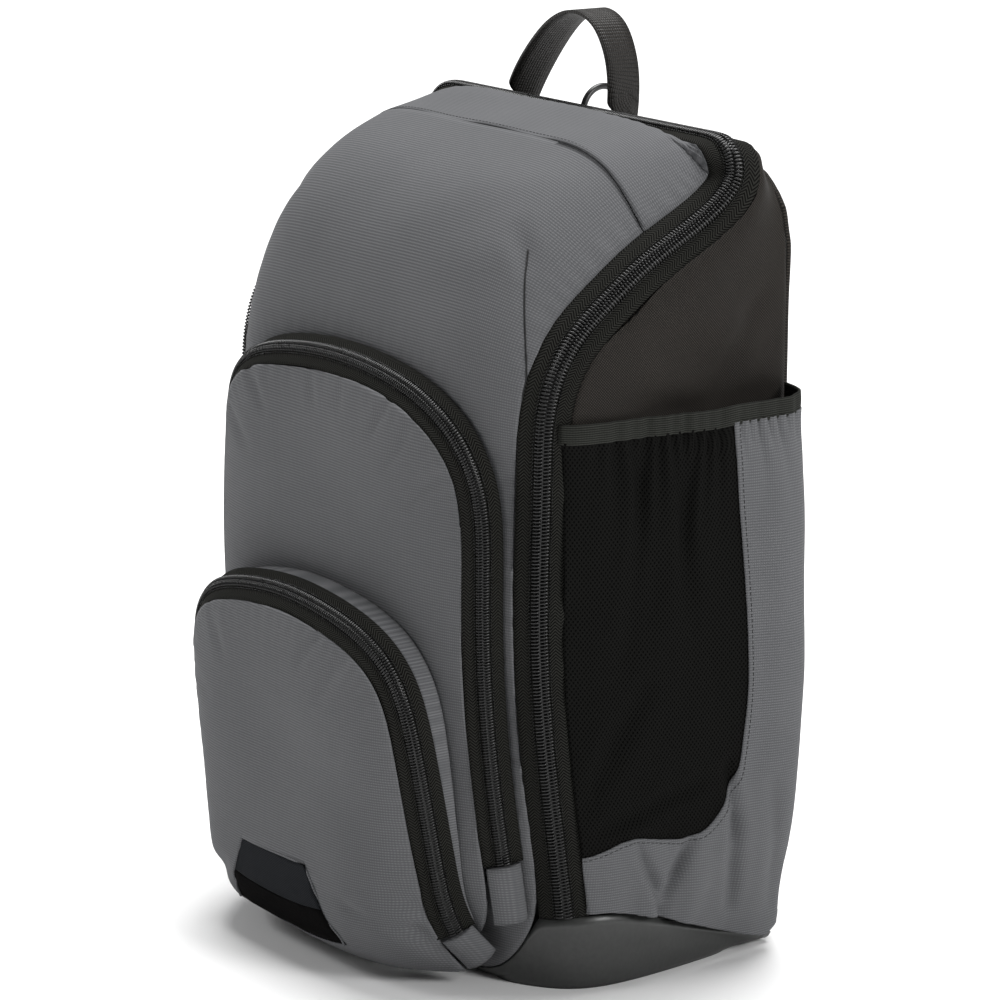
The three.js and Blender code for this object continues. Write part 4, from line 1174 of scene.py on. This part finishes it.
@dataclass
class BatPocket:
    """An open side pocket: a mesh panel, a gray sleeve round it and an elastic band."""

    side: str
    columns: int = 150
    rows: int = 120
    axis: tuple[float, float] = (70, 15)
    band_height: float = 10
    lip: float = 4.5
    top_lip: float = 2
    top_lift: float = 2.4
    level: int = 26
    corner: float = 20
    scan_turn: float = 62
    scan_from: float = 6
    scan_to: float = 336
    firm_from: float = 56
    firm_to: float = 296
    hem_rise: float = 0.9
    wall: float = 0.9

    def nodes(self, *names: str) -> list[str]:
        """Name this side's CAD nodes."""
        return [f"{name}_{self.side}" for name in names]

    def edges(self, probe: Probe) -> tuple[np.ndarray, np.ndarray, np.ndarray]:
        """Find the directions of the pocket's front and rear edge at a row of heights.

        Args:
            probe: The probe of the pocket's solids.

        Returns:
            The heights, and the front and rear edge's direction at each.
        """
        angles = np.radians(np.arange(-self.scan_turn, self.scan_turn, 0.5))
        heights = np.arange(self.scan_from, self.scan_to - 2, 4) * MM
        seen = np.array([[not math.isnan(probe.reach(a, z)) for a in angles] for z in heights])
        low = np.array([angles[row.argmax()] if row.any() else math.nan for row in seen])
        back = len(angles) - 1
        high = np.array([angles[back - row[::-1].argmax()] if row.any() else math.nan for row in seen])
        firm = (heights > self.firm_from * MM) & (heights < self.firm_to * MM)
        low, high = (smoothed(continued(heights, edge, firm), 3) for edge in (low, high))
        return heights, low, high

    def scan(self) -> np.ndarray:
        """Read the pocket's outer face off the solids as a grid.

        Returns:
            Points, rows from the foot up by columns from the front, in metres, on the right side.
        """
        probe = Probe(self.nodes("mesh_panel", "bat_sleeve"), self.axis, 1 if self.side == "right" else -1)
        heights, low, high = self.edges(probe)
        shares = np.linspace(0, 1, self.columns)
        fine = np.arange(self.scan_from, self.scan_to, 1.5) * MM
        foot, top, reaches = [], [], []
        for share in shares:
            turn = np.interp(fine, heights, low) * (1 - share) + np.interp(fine, heights, high) * share
            reach = np.array([probe.reach(a, z) for a, z in zip(turn, fine)])
            good = np.flatnonzero(~np.isnan(reach))
            foot.append(fine[good[0]])
            top.append(fine[good[-1]])
            reaches.append((turn, np.interp(fine, fine[good], reach[good])))
        foot, top = smoothed(np.array(foot), 8), smoothed(np.array(top), 8)
        foot += self.corner * MM * np.clip((shares - 0.86) / 0.14, 0, 1) ** 2
        top[: self.level] = top[self.level]
        grid = np.empty((self.rows, self.columns, 3))
        for j, (turn, reach) in enumerate(reaches):
            z = np.linspace(foot[j], top[j], self.rows)
            a, r = np.interp(z, fine, turn), np.interp(z, fine, reach)
            grid[:, j] = np.column_stack([probe.start.x + r * np.cos(a), probe.start.y + r * np.sin(a), z])
        for _ in range(10):
            inner = grid[1:-1, 1:-1]
            around = grid[:-2, 1:-1] + grid[2:, 1:-1] + grid[1:-1, :-2] + grid[1:-1, 2:]
            grid[1:-1, 1:-1] = inner * 0.5 + around * 0.125
        return self.sewn_in(grid)

    def sewn_in(self, grid: np.ndarray) -> np.ndarray:
        """Carry the front edge on to the zip's tape, and lift its top clear of the side cloth.

        Args:
            grid: The outer face as it was read.

        Returns:
            The face with its front edge at the tape.
        """
        ahead = grid[:, :1] - grid[:, 4:5]
        ahead /= np.linalg.norm(ahead, axis=2, keepdims=True)
        near_top = np.clip(np.linspace(-2, 1, self.rows), 0, 1)[:, None, None]
        move = ahead * (self.lip + self.top_lip * near_top) * MM
        grid[:, :9] = grid[:, :9] + move * np.linspace(1, 0.1, 9)[None, :, None]
        near_front = np.clip(1 - np.arange(self.columns) / self.level, 0, 1)[None, :, None]
        return grid + self.outward(grid) * near_top * near_front * self.top_lift * MM

    def folded(self, grid: np.ndarray) -> np.ndarray:
        """Gather the cloth under its elastic and crease it at its foot.

        Args:
            grid: The smooth outer face.

        Returns:
            The folded face.
        """
        flat = grid.reshape(-1, 3)
        out = self.outward(grid).reshape(-1, 3)
        below = (grid[-1:, :, 2] - grid[:, :, 2]).ravel()
        push = undulation(flat, 55, 1.6)
        for gather in GATHERS:
            lean = gather.at * MM + below * 0.12 * math.sin(gather.at)
            away = (flat[:, 1] - lean) / (gather.width * MM * (1 + below / (gather.reach * MM) * 0.6))
            fall = np.exp(-((below / (gather.reach * MM)) ** 1.5))
            push -= gather.depth * MM * fall * valley(away)
        for fold in POCKET_FOLDS:
            push += fold.push(flat)
        edge = np.minimum(np.arange(self.columns), np.arange(self.columns)[::-1]) / 8
        hold = np.tile(np.clip(edge, 0, 1), self.rows)
        return (flat + out * (push * hold)[:, None]).reshape(grid.shape)

    def outward(self, grid: np.ndarray) -> np.ndarray:
        """Work out the way out of the face at each point."""
        up = np.gradient(grid, axis=0)
        across = np.gradient(grid, axis=1)
        normal = np.cross(across, up)
        return normal / np.maximum(np.linalg.norm(normal, axis=2, keepdims=True), 1e-12)

    def sided(self, grid: np.ndarray) -> np.ndarray:
        """Mirror a grid to the left where the pocket is there."""
        return grid if self.side == "right" else grid * np.array([-1, 1, 1])

    def sleeve(self, grid: np.ndarray) -> tuple[np.ndarray, np.ndarray]:
        """Lay out the gray sleeve between the hem and the pocket's border.

        Args:
            grid: The folded face.

        Returns:
            The sleeve's grid of points and of ways out.
        """
        rows, columns = grid.shape[:2]
        spots = []
        for point in HEM:
            gap = (grid[:, :, 1] - point.y * MM) ** 2 + (grid[:, :, 2] - point.z * MM) ** 2
            i, j = np.unravel_index(gap.argmin(), gap.shape)
            spots.append((float(i), float(j)))
        spots[0] = (spots[0][0], 0.0)
        spots[-1] = (rows - 1.0, spots[-1][1])
        hem = np.array(spots)
        first = spline(hem[: HEM_CORNER + 1], 12)
        second = spline(hem[HEM_CORNER:], 18)
        foot = np.column_stack([np.zeros(len(first)), np.linspace(0, columns - 1, len(first))])
        rear = np.column_stack([np.linspace(0, rows - 1, len(second)), np.full(len(second), columns - 1.0)])
        inner, outer = smoothed(np.vstack([first, second[1:]]), 6), np.vstack([foot, rear[1:]])
        shares = np.linspace(0, 1, 44)
        place = inner[None] * (1 - shares[:, None, None]) + outer[None] * shares[:, None, None]
        out = self.outward(grid)
        return bilinear(grid, place), bilinear(out, place)

    def build(self, repeat: Repeat) -> None:
        """Make the mesh panel, the sleeve, its hem stitches and the band.

        Args:
            repeat: The Geometry Nodes that repeat a stitch.
        """
        grid = self.folded(self.scan())
        out = self.outward(grid)
        behind = grid - out * self.wall * MM
        mesh = thin_shell(f"side_mesh_{self.side}", self.sided(grid), self.sided(behind))
        arc = np.cumsum(np.linalg.norm(np.diff(grid, axis=1, prepend=grid[:, :1]), axis=2), axis=1)
        lay_weave(mesh, np.tile(arc.ravel(), 2), np.tile(grid[:, :, 2].ravel(), 2))
        dress(mesh, MESH)
        keep(mesh, "mesh", *self.nodes("mesh_panel"))
        cloth, ways = self.sleeve(grid)
        ways = ways / np.linalg.norm(ways, axis=2, keepdims=True)
        outer = cloth + ways * (self.hem_rise + 0.3) * MM
        inner = cloth + ways * 0.3 * MM
        sleeve = thin_shell(f"gray_sleeve_{self.side}", self.sided(outer), self.sided(inner))
        lay_weave(sleeve, np.tile(cloth[:, :, 1].ravel(), 2), np.tile(cloth[:, :, 2].ravel(), 2))
        dress(sleeve, GRAY)
        keep(sleeve, "gray_cloth", *self.nodes("bat_sleeve"))
        self.hem(outer, ways, repeat)
        self.band(grid, out)

    def hem(self, outer: np.ndarray, ways: np.ndarray, repeat: Repeat) -> None:
        """Sew a line of stitches inside the hem."""
        line, facing = self.sided(outer[2]), self.sided(ways[2])
        stitch_line(f"hem_stitches_{self.side}", line, facing, "gray_cloth", repeat)

    def band(self, grid: np.ndarray, out: np.ndarray) -> None:
        """Make the elastic band along the pocket's mouth."""
        top, way = grid[-1], smoothed(out[-1], 12)
        top = smoothed(top, 8)
        steps = np.linspace(-1.5, self.band_height, 9)
        rise = np.array([top + np.array([0, 0, s * MM]) for s in steps])
        bulge = 0.5 * np.cos(np.linspace(-1.4, 1.4, len(steps))) + 1.1
        outer = rise + way[None] * bulge[:, None, None] * MM
        inner = rise - way[None] * 0.4 * MM
        piece = thin_shell(f"elastic_{self.side}", self.sided(outer), self.sided(inner))
        arc = run_along(top)
        lay_weave(piece, np.tile(arc, 2 * len(steps)), np.tile(np.repeat(steps * MM, len(arc)), 2))
        dress(piece, ELASTIC)
        keep(piece, "zip_tape", *self.nodes("elastic_band"))


def continued(places: np.ndarray, values: np.ndarray, firm: np.ndarray) -> np.ndarray:
    """Carry values on past their firm stretch, along the slope that they have at its ends.

    Args:
        places: Where the values are.
        values: The values, which may be missing outside the stretch.
        firm: True where a value is firm.

    Returns:
        The values with their ends replaced.
    """
    known = firm & ~np.isnan(values)
    start, end = places[known][[0, -1]]
    first = np.polyfit(places[known][:8], values[known][:8], 1)
    last = np.polyfit(places[known][-8:], values[known][-8:], 1)
    values = np.interp(places, places[known], values[known])
    values = np.where(places > end, np.polyval(last, places), values)
    return np.where(places < start, np.polyval(first, places), values)


def smoothed(values: np.ndarray, times: int) -> np.ndarray:
    """Even out a line of values or points, its ends kept."""
    values = values.copy()
    for _ in range(times):
        values[1:-1] = (values[:-2] + 2 * values[1:-1] + values[2:]) / 4
    return values


def bilinear(grid: np.ndarray, place: np.ndarray) -> np.ndarray:
    """Read a grid at fractional rows and columns.

    Args:
        grid: Rows by columns by three.
        place: Where to read, with a row and a column in its last axis.

    Returns:
        The values there.
    """
    limit = np.array(grid.shape[:2]) - 1.000001
    place = np.clip(place, 0, limit)
    low = place.astype(int)
    part = place - low
    i, j = low[..., 0], low[..., 1]
    s, t = part[..., :1], part[..., 1:]
    return (
        grid[i, j] * (1 - s) * (1 - t)
        + grid[i + 1, j] * s * (1 - t)
        + grid[i, j + 1] * (1 - s) * t
        + grid[i + 1, j + 1] * s * t
    )


def stitch_line(
    name: str, line: np.ndarray, facing: np.ndarray, slot: str, repeat: Repeat, pitch: float = 3.2
) -> bpy.types.Object:
    """Sew a line of stitches on cloth.

    Args:
        name: The piece's name.
        line: Points on the cloth.
        facing: The way out of the cloth at each.
        slot: Not used.
        repeat: The Geometry Nodes that repeat a stitch.
        pitch: Length of a stitch with its gap, in millimetres.

    Returns:
        The stitches.
    """
    index = resampled(line, pitch)
    spots, outs = at(line, index), unit(at(facing, index))
    along = unit(at(np.gradient(line, axis=0), index))
    long = pitch * 0.36
    shape = [(0, -long, -0.15), (0, -long * 0.6, 0.14), (0, long * 0.6, 0.14), (0, long, -0.15)]
    stitch = rod("stitch", shape, [0.14, 0.27, 0.27, 0.14], 5)
    sewn = repeat.along(name, spots, along, outs, stitch, THREAD, 0.1)
    bpy.data.objects.remove(stitch)
    return keep(sewn, slot)


@dataclass(frozen=True)
class Seam:
    """A sewn line on a panel: its points in millimetres and the panel that carries it."""

    name: str
    panel: str
    points: tuple[tuple[float, float, float], ...]
    cord: float = 0.0
    finish: Cloth | Moulded = THREAD

    def build(self, pieces: dict[str, bpy.types.Object], repeat: Repeat) -> None:
        """Sew the line on its panel.

        Args:
            pieces: The panels by name.
            repeat: The Geometry Nodes that repeat a stitch.
        """
        panel = pieces[self.panel]
        tree = BVHTree.FromPolygons(
            [v.co for v in panel.data.vertices], [tuple(p.vertices) for p in panel.data.polygons]
        )
        rough = spline(np.array(self.points) * MM, 16)
        found = [tree.find_nearest(Vector(p)) for p in rough]
        line = smoothed(np.array([tuple(f[0]) for f in found]), 4)
        facing = unit(smoothed(np.array([tuple(f[1]) for f in found]), 4))
        if self.cord:
            cord = rod(self.name, [tuple(p) for p in line / MM], [self.cord] * len(line), 8)
            Centreline(cord_rings(line, self.cord), 2).weave(cord)
            dress(cord, self.finish)
            keep(cord, "gray_cloth")
        else:
            stitch_line(self.name, line, facing, "gray_cloth", repeat)


def cord_rings(line: np.ndarray, radius: float) -> list[np.ndarray]:
    """Give a pair of points across a line at each of its points, to lay a weave along it."""
    return [np.array([p - (radius * MM, 0, 0), p + (radius * MM, 0, 0)]) for p in line]


def lid_topstitch(lid: bpy.types.Object, behind: float, reach: float, repeat: Repeat) -> None:
    """Sew the line of stitches that follows the lid's front seam.

    Args:
        lid: The lid's cloth.
        behind: How far behind the seam, in millimetres.
        reach: How far out it runs on each side, in millimetres.
        repeat: The Geometry Nodes that repeat a stitch.
    """
    points = points_of(lid)
    tree = BVHTree.FromPolygons([tuple(p) for p in points], [tuple(p.vertices) for p in lid.data.polygons])
    edge = []
    for x in np.linspace(-reach, reach, 60) * MM:
        near = points[np.abs(points[:, 0] - x) < 2 * MM]
        edge.append(near[near[:, 1].argmin()])
    edge = smoothed(np.array(edge), 3)
    along = unit(np.gradient(edge, axis=0))
    back = unit(np.cross((0, 0, 1.0), along))
    found = [tree.find_nearest(Vector(p)) for p in edge + back * behind * MM + np.array([0, 0, MM])]
    line = smoothed(np.array([tuple(f[0]) for f in found]), 2)
    facing = unit(smoothed(np.array([tuple(f[1]) for f in found]), 2))
    stitch_line("lid_topstitch", spline(line, 4), spline(facing, 4), "lid_cloth", repeat)


@dataclass
class Webbing:
    """A flat woven strap along its CAD solid's path."""

    node: str
    name: str
    ring: int
    first: tuple[float, float, float]
    slot: str = "webbing"
    finish: Cloth = WEBBING
    levels: int = 2

    def build(self) -> bpy.types.Object:
        """Make the strap.

        Returns:
            The finished piece.
        """
        piece = refined(self.node, self.name, self.levels, 60)
        Centreline(rings_of(self.node, self.ring, Vector(self.first)), 6).weave(piece)
        dress(piece, self.finish)
        return keep(piece, self.slot, self.node)


@dataclass
class Pad:
    """A foam-filled piece: its solid is remeshed and blown up a little as cloth."""

    node: str
    name: str
    mapping: Mapping
    voxel: float
    cap: float
    pressure: float = 4.0
    frames: int = 20
    fill: float = 0.7

    def build(self) -> bpy.types.Object:
        """Make the pad.

        Returns:
            The finished piece.
        """
        piece = poured(self.name, merged(self.node))
        remesh = piece.modifiers.new("remesh", "REMESH")
        remesh.mode, remesh.voxel_size, remesh.adaptivity = "VOXEL", self.voxel * MM, 0
        baked(piece)
        self.fill_out(piece)
        rounding = piece.modifiers.new("rounding", "SUBSURF")
        rounding.levels = rounding.render_levels = 1
        baked(piece)
        piece.data.shade_smooth()
        map_weave(piece, self.mapping)
        dress(piece, PADDING)
        return keep(piece, "black_twill", self.node)

    def fill_out(self, piece: bpy.types.Object) -> None:
        """Blow the pad up as cloth and keep each point near its place."""
        rest = points_of(piece)
        cloth = piece.modifiers.new("cloth", "CLOTH")
        settings = cloth.settings
        settings.use_pressure = True
        settings.uniform_pressure_force = self.pressure
        settings.effector_weights.gravity = 0
        settings.quality = 4
        cloth.point_cache.frame_start, cloth.point_cache.frame_end = 1, self.frames
        scene = bpy.context.scene
        for step in range(1, self.frames + 1):
            scene.frame_set(step)
        baked(piece)
        scene.frame_set(1)
        moved = points_of(piece) - rest
        far = np.linalg.norm(moved, axis=1, keepdims=True)
        moved *= np.minimum(1, self.cap * MM / np.maximum(far, 1e-9))
        place_points(piece, rest + moved)


@dataclass
class Hardware:
    """A small hard piece: its CAD solid with softened edges."""

    node: str
    name: str
    slot: str
    finish: Moulded
    edge: float = 0.5
    smooth: bool = False

    def build(self) -> bpy.types.Object:
        """Make the piece.

        Returns:
            The finished piece.
        """
        if self.smooth:
            piece = refined(self.node, self.name, 2, 60)
        else:
            shape = merged(self.node)
            bmesh.ops.dissolve_limit(shape, angle_limit=0.02, verts=shape.verts[:], edges=shape.edges[:])
            piece = poured(self.name, shape)
            bevel = piece.modifiers.new("edge", "BEVEL")
            bevel.width, bevel.segments, bevel.limit_method = self.edge * MM, 3, "ANGLE"
            bevel.harden_normals = False
            baked(piece)
            piece.data.shade_smooth()
        dress(piece, self.finish)
        return keep(piece, self.slot, self.node)


MAIN_SEWING = Pucker("main", 15)
MIDDLE_SEWING = Pucker("middle", 12)
LOWER_SEWING = Pucker("lower", 12)

DART_FOLDS = (
    Fold((104, -62, 437), (119, -71, 424), 7, 2.4),
    Fold((116, -71, 424), (139, -85, 349), 3.5, 1.0),
)
FRONT_FOLDS = (
    *DART_FOLDS,
    Fold((60, -82, 398), (112, -78, 408), 16, 1.6),
    Fold((-40, -92, 384), (-96, -80, 404), 18, 1.8),
    Fold((-100, -50, 440), (-122, -20, 452), 10, 1.6),
    Fold((20, -70, 432), (90, -40, 462), 20, -1.4),
    *(fold.mirrored() for fold in DART_FOLDS),
)
MIDDLE_FOLDS = (
    Fold((62, -122, 342), (44, -123, 318), 4, 1.5),
    Fold((84, -121, 330), (62, -122, 306), 5, 1.7),
    Fold((102, -118, 306), (80, -121, 286), 5, 1.6),
    Fold((112, -112, 276), (94, -117, 262), 5, 1.3),
    Fold((-84, -121, 338), (-66, -122, 316), 5, 1.8),
    Fold((-104, -118, 306), (-84, -121, 290), 6, 1.6),
    Fold((112, -110, 220), (84, -116, 206), 8, 1.2),
    Fold((-20, -123, 344), (-14, -124, 326), 4, 1.0),
    Fold((14, -123, 344), (12, -124, 328), 4, 0.9),
    Fold((-60, -124, 300), (40, -124, 270), 26, 1.4),
)
LOWER_FOLDS = (
    Fold((64, -159, 50), (101, -129, 39), 4.5, 2.4),
    Fold((99, -131, 40), (94, -84, 8), 6, 3.2),
    Fold((92, -145, 64), (114, -111, 40), 7, 2.0),
    Fold((114, -112, 42), (121, -80, 16), 6, 2.2),
    Fold((-60, -158, 40), (-108, -120, 22), 8, 2.8),
    Fold((44, -157, 208), (26, -160, 186), 4, 1.4),
    Fold((66, -156, 196), (48, -159, 172), 5, 1.6),
    Fold((-70, -156, 196), (-54, -159, 174), 5, 1.8),
    Fold((90, -149, 166), (66, -156, 148), 6, 1.5),
    Fold((-94, -149, 160), (-70, -156, 146), 6, 1.4),
    Fold((-40, -160, 150), (50, -160, 120), 26, 1.6),
)
SIDE_FOLDS = (
    Fold((150, -30, 400), (156, 40, 360), 14, 2.2),
    Fold((152, -44, 352), (158, 20, 336), 9, 2.4),
    Fold((140, 30, 432), (152, 78, 372), 12, 2.2),
    Fold((156, 74, 396), (158, 40, 342), 8, 2.0),
)
LEFT_SIDE_FOLDS = tuple(fold.mirrored() for fold in SIDE_FOLDS[:3])
BOOT_FOLDS = (
    Fold((140, -58, 26), (158, -6, 20), 7, 1.0),
    Fold((158, 10, 20), (154, 60, 8), 6, 0.8),
)

PANELS = (
    Panel(
        "front_panel",
        "front_cloth",
        "gray_cloth",
        GRAY,
        Mapping.FRONT,
        swell=2.2,
        swell_size=85,
        folds=FRONT_FOLDS,
        puckers=(MAIN_SEWING, MIDDLE_SEWING),
    ),
    Panel("top_panel", "lid_cloth", "lid_cloth", GRAY, Mapping.FRONT, 3, 1.0, 60, puckers=(MAIN_SEWING,)),
    *(
        Panel(
            f"side_panel_{side}",
            f"side_cloth_{side}",
            "black_twill",
            BLACK,
            Mapping.SIDE,
            swell=1.6,
            folds=folds,
            puckers=(MAIN_SEWING,),
        )
        for side, folds in zip(SIDES, (SIDE_FOLDS, LEFT_SIDE_FOLDS))
    ),
    Panel("top_gusset", "top_strip", "black_twill", BLACK, Mapping.TOP, 2, 0.2, 50),
    Panel("boot", "base_boot", "coated_black", COATED, Mapping.SIDE, 2, 0.3, 60, BOOT_FOLDS, (0, 0, 40)),
    Panel(
        "middle_pocket",
        "middle_pocket_cloth",
        "gray_cloth",
        GRAY,
        Mapping.FRONT,
        swell=1.8,
        folds=MIDDLE_FOLDS,
        puckers=(MIDDLE_SEWING,),
    ),
    Panel(
        "lower_pocket",
        "lower_pocket_cloth",
        "gray_cloth",
        GRAY,
        Mapping.FRONT,
        swell=1.6,
        folds=LOWER_FOLDS,
        puckers=(LOWER_SEWING,),
    ),
    Panel("lower_pocket_gusset", "lower_pocket_wall", "gray_cloth", GRAY, Mapping.FRONT, 2, 0.3, 40),
    Panel("window_panel", "window_twill", "black_twill", TWILL, Mapping.FRONT, 1, 0.2, 40),
    Panel("loop_strip", "loop_fastener", "mesh", LOOP, Mapping.FRONT, 1, 0.3, 12),
    *(
        Panel(f"{tab}_{side}", f"{tab}_{side}_cloth", "gray_cloth", GRAY, Mapping.FRONT, 3, 0.2, 20)
        for tab in ("middle_tab", "lower_tab")
        for side in SIDES
    ),
    *(
        Panel(f"strap_anchor_{side}", f"anchor_{side}", "black_twill", PADDING, Mapping.FRONT, 2, 0.1, 20)
        for side in SIDES
    ),
)

DART = ((115, -68, 432), (121, -73, 412), (128, -78, 390), (135, -81, 368), (139, -85, 349))
WINDOW_EDGE = (
    (-55, -152, 17),
    (-46, -158, 38),
    (-35, -162, 62),
    (-32, -162, 66),
    (0, -163, 66.5),
    (30, -162, 66),
    (37, -162, 60),
    (47, -158, 38),
    (55, -152, 17),
)
STRAP_MIDDLE = ((50, 124, 385), (63, 140, 329), (77, 136, 254), (88, 132, 197), (95, 128, 166))
STRAP_INSET = 28


def shifted(points: tuple, shift: float) -> tuple:
    """Move points sideways."""
    return tuple((x + shift, y, z) for x, y, z in points)


def back_border(half: float, foot: float, top: float, corner: float) -> tuple:
    """Draw the line inside the back panel's edge: up one side, over the top and down the other.

    Args:
        half: Half its width.
        foot: Height of its ends.
        top: Height of its top.
        corner: Radius of its corners.

    Returns:
        The line's points in millimetres.
    """
    face = 108
    rise = [(half, face, z) for z in np.linspace(foot, top - corner, 8)]
    turns = np.radians((18, 36, 54, 72, 90))
    bend = [(half - corner * (1 - math.cos(t)), face, top - corner * (1 - math.sin(t))) for t in turns]
    side = tuple(rise + bend)
    return side + mirrored(side)[::-1]


SEAMS = (
    Seam("front_dart_right", "front_cloth", DART, 0.55),
    Seam("front_dart_left", "front_cloth", mirrored(DART), 0.55),
    Seam("window_piping", "lower_pocket_cloth", WINDOW_EDGE, 0.9, GRAY),
    Seam("back_binding", "back_padding", back_border(152, 10, 471, 46), 2.4, BLACK),
    Seam("back_panel_stitches", "back_padding", back_border(142, 16, 462, 40)),
    Seam("strap_stitches_right_out", "shoulder_pad_right", shifted(STRAP_MIDDLE, STRAP_INSET)),
    Seam("strap_stitches_right_in", "shoulder_pad_right", shifted(STRAP_MIDDLE, -STRAP_INSET)),
    Seam("strap_stitches_left_out", "shoulder_pad_left", mirrored(shifted(STRAP_MIDDLE, STRAP_INSET))),
    Seam("strap_stitches_left_in", "shoulder_pad_left", mirrored(shifted(STRAP_MIDDLE, -STRAP_INSET))),
)

ZIPS = (
    Zip("main", 30, 38, 10, 2.0),
    Zip("middle", 24, 40, 8, 1.7),
    Zip("lower", 24, 40, 8, 1.7),
)

STRAPS = (
    Webbing("haul_handle", "haul_loop_webbing", 4, (0.2, 0, -1)),
    *(Webbing(f"strap_webbing_{side}", f"strap_webbing_{side}_tape", 4, (0, 0, 1)) for side in SIDES),
)

PADS = (
    Pad("back_panel", "back_padding", Mapping.FRONT, 6.0, 5.0),
    *(Pad(f"shoulder_strap_{side}", f"shoulder_pad_{side}", Mapping.FRONT, 4.0, 2.5) for side in SIDES),
)

HARDWARE = (
    Hardware("fence_hook", "fence_hook_wire", "hook_rubber", RUBBER, smooth=True),
    *(Hardware(f"ladder_lock_{side}", f"buckle_{side}", "buckle", ACETAL, 0.8) for side in SIDES),
    *(
        Hardware(f"{row.name}_slider", f"{row.name}_zip_slider", "slider_metal", ENAMEL, 0.6)
        for row in ZIPS
    ),
)


@dataclass
class Studio:
    """The pale room, its lights and the camera at the photograph's angle."""

    azimuth: float = 53.0
    elevation: float = 14.1
    roll: float = 0.3
    distance: float = 2484
    focal: float = 4160
    shift_right: float = -1.8
    shift_up: float = -13.4
    target: tuple[float, float, float] = (0, 0, 240)
    sensor: float = 36
    width: float = 1000

    def camera(self) -> None:
        """Set the camera up."""
        a, e, r = (math.radians(v) for v in (self.azimuth, self.elevation, self.roll))
        right = Vector((math.cos(a), math.sin(a), 0))
        back = Vector((math.sin(a) * math.cos(e), -math.cos(a) * math.cos(e), math.sin(e)))
        up = back.cross(right)
        right, up = right * math.cos(r) + up * math.sin(r), up * math.cos(r) - right * math.sin(r)
        place = Vector(self.target) - right * self.shift_right - up * self.shift_up + back * self.distance
        data = bpy.data.cameras.new("camera")
        data.sensor_width = self.sensor
        data.lens = self.focal * self.sensor / self.width
        data.clip_start, data.clip_end = 0.05, 30
        camera = bpy.data.objects.new("camera", data)
        bpy.context.scene.collection.objects.link(camera)
        turn = Matrix((right, up, back)).transposed().to_4x4()
        camera.matrix_world = Matrix.Translation(place * MM) @ turn
        bpy.context.scene.camera = camera

    def lights(self) -> None:
        """Light the bag softly from above, the front and the side."""
        world = bpy.data.worlds.new("room")
        world.use_nodes = True
        sky = world.node_tree.nodes["Background"]
        sky.inputs["Color"].default_value = (1, 1, 1, 1)
        sky.inputs["Strength"].default_value = 0.2
        bpy.context.scene.world = world
        for name, place, power in (("key", (-1.7, -1.7, 1.9), 26), ("side", (2.5, 0.6, 1.5), 44)):
            soft = self.lamp(name, "AREA", power)
            soft.data.size = 0.8
            soft.location = place
            soft.rotation_euler = (Vector((0, 0, 0.25)) - Vector(place)).to_track_quat("-Z", "Y").to_euler()
        ceiling = self.lamp("ceiling", "SUN", 4.8)
        ceiling.data.angle = math.radians(40)
        ceiling.rotation_euler = (math.radians(-12), math.radians(-10), 0)
        bpy.context.scene.view_settings.view_transform = "Standard"

    def lamp(self, name: str, kind: str, power: float) -> bpy.types.Object:
        """Hang a lamp of a kind and power in the room."""
        data = bpy.data.lights.new(name, kind)
        data.energy = power
        lamp = bpy.data.objects.new(name, data)
        bpy.context.scene.collection.objects.link(lamp)
        return lamp

    def floor(self) -> None:
        """Lay the pale floor."""
        points = np.array([(-8, -8, 0), (8, -8, 0), (8, 8, 0), (-8, 8, 0)], float)
        floor = solid("floor", points - np.array([0, 0, 0.0002]), [(0, 1, 2, 3)])
        graph = Graph("pale_paper")
        paper = graph.add("ShaderNodeBsdfPrincipled", {"Base Color": linear("e9e9e9"), "Roughness": 0.9})
        graph.add("ShaderNodeOutputMaterial", {"Surface": paper.outputs[0]})
        floor.data.materials.append(graph.material)


def main() -> None:
    """Build the bag piece by piece."""
    logging.basicConfig(level=logging.INFO, format="%(name)s %(message)s")
    studio = Studio()
    studio.camera()
    studio.lights()
    studio.floor()
    repeat = Repeat()
    pieces = {panel.name: panel.build() for panel in PANELS}
    for row in ZIPS:
        row.build(repeat)
    for side in SIDES:
        BatPocket(side).build(repeat)
    pieces |= {pad.name: pad.build() for pad in PADS}
    for seam in SEAMS:
        seam.build(pieces, repeat)
    lid_topstitch(pieces["lid_cloth"], behind=3, reach=132, repeat=repeat)
    for strap in STRAPS:
        strap.build()
    tab = refined("hook_tab", "hook_tab_webbing", 1, 40)
    map_weave(tab, Mapping.FRONT)
    dress(tab, WEBBING)
    keep(tab, "webbing", "hook_tab")
    for row in HARDWARE:
        row.build()


if __name__ == "__main__":
    main()
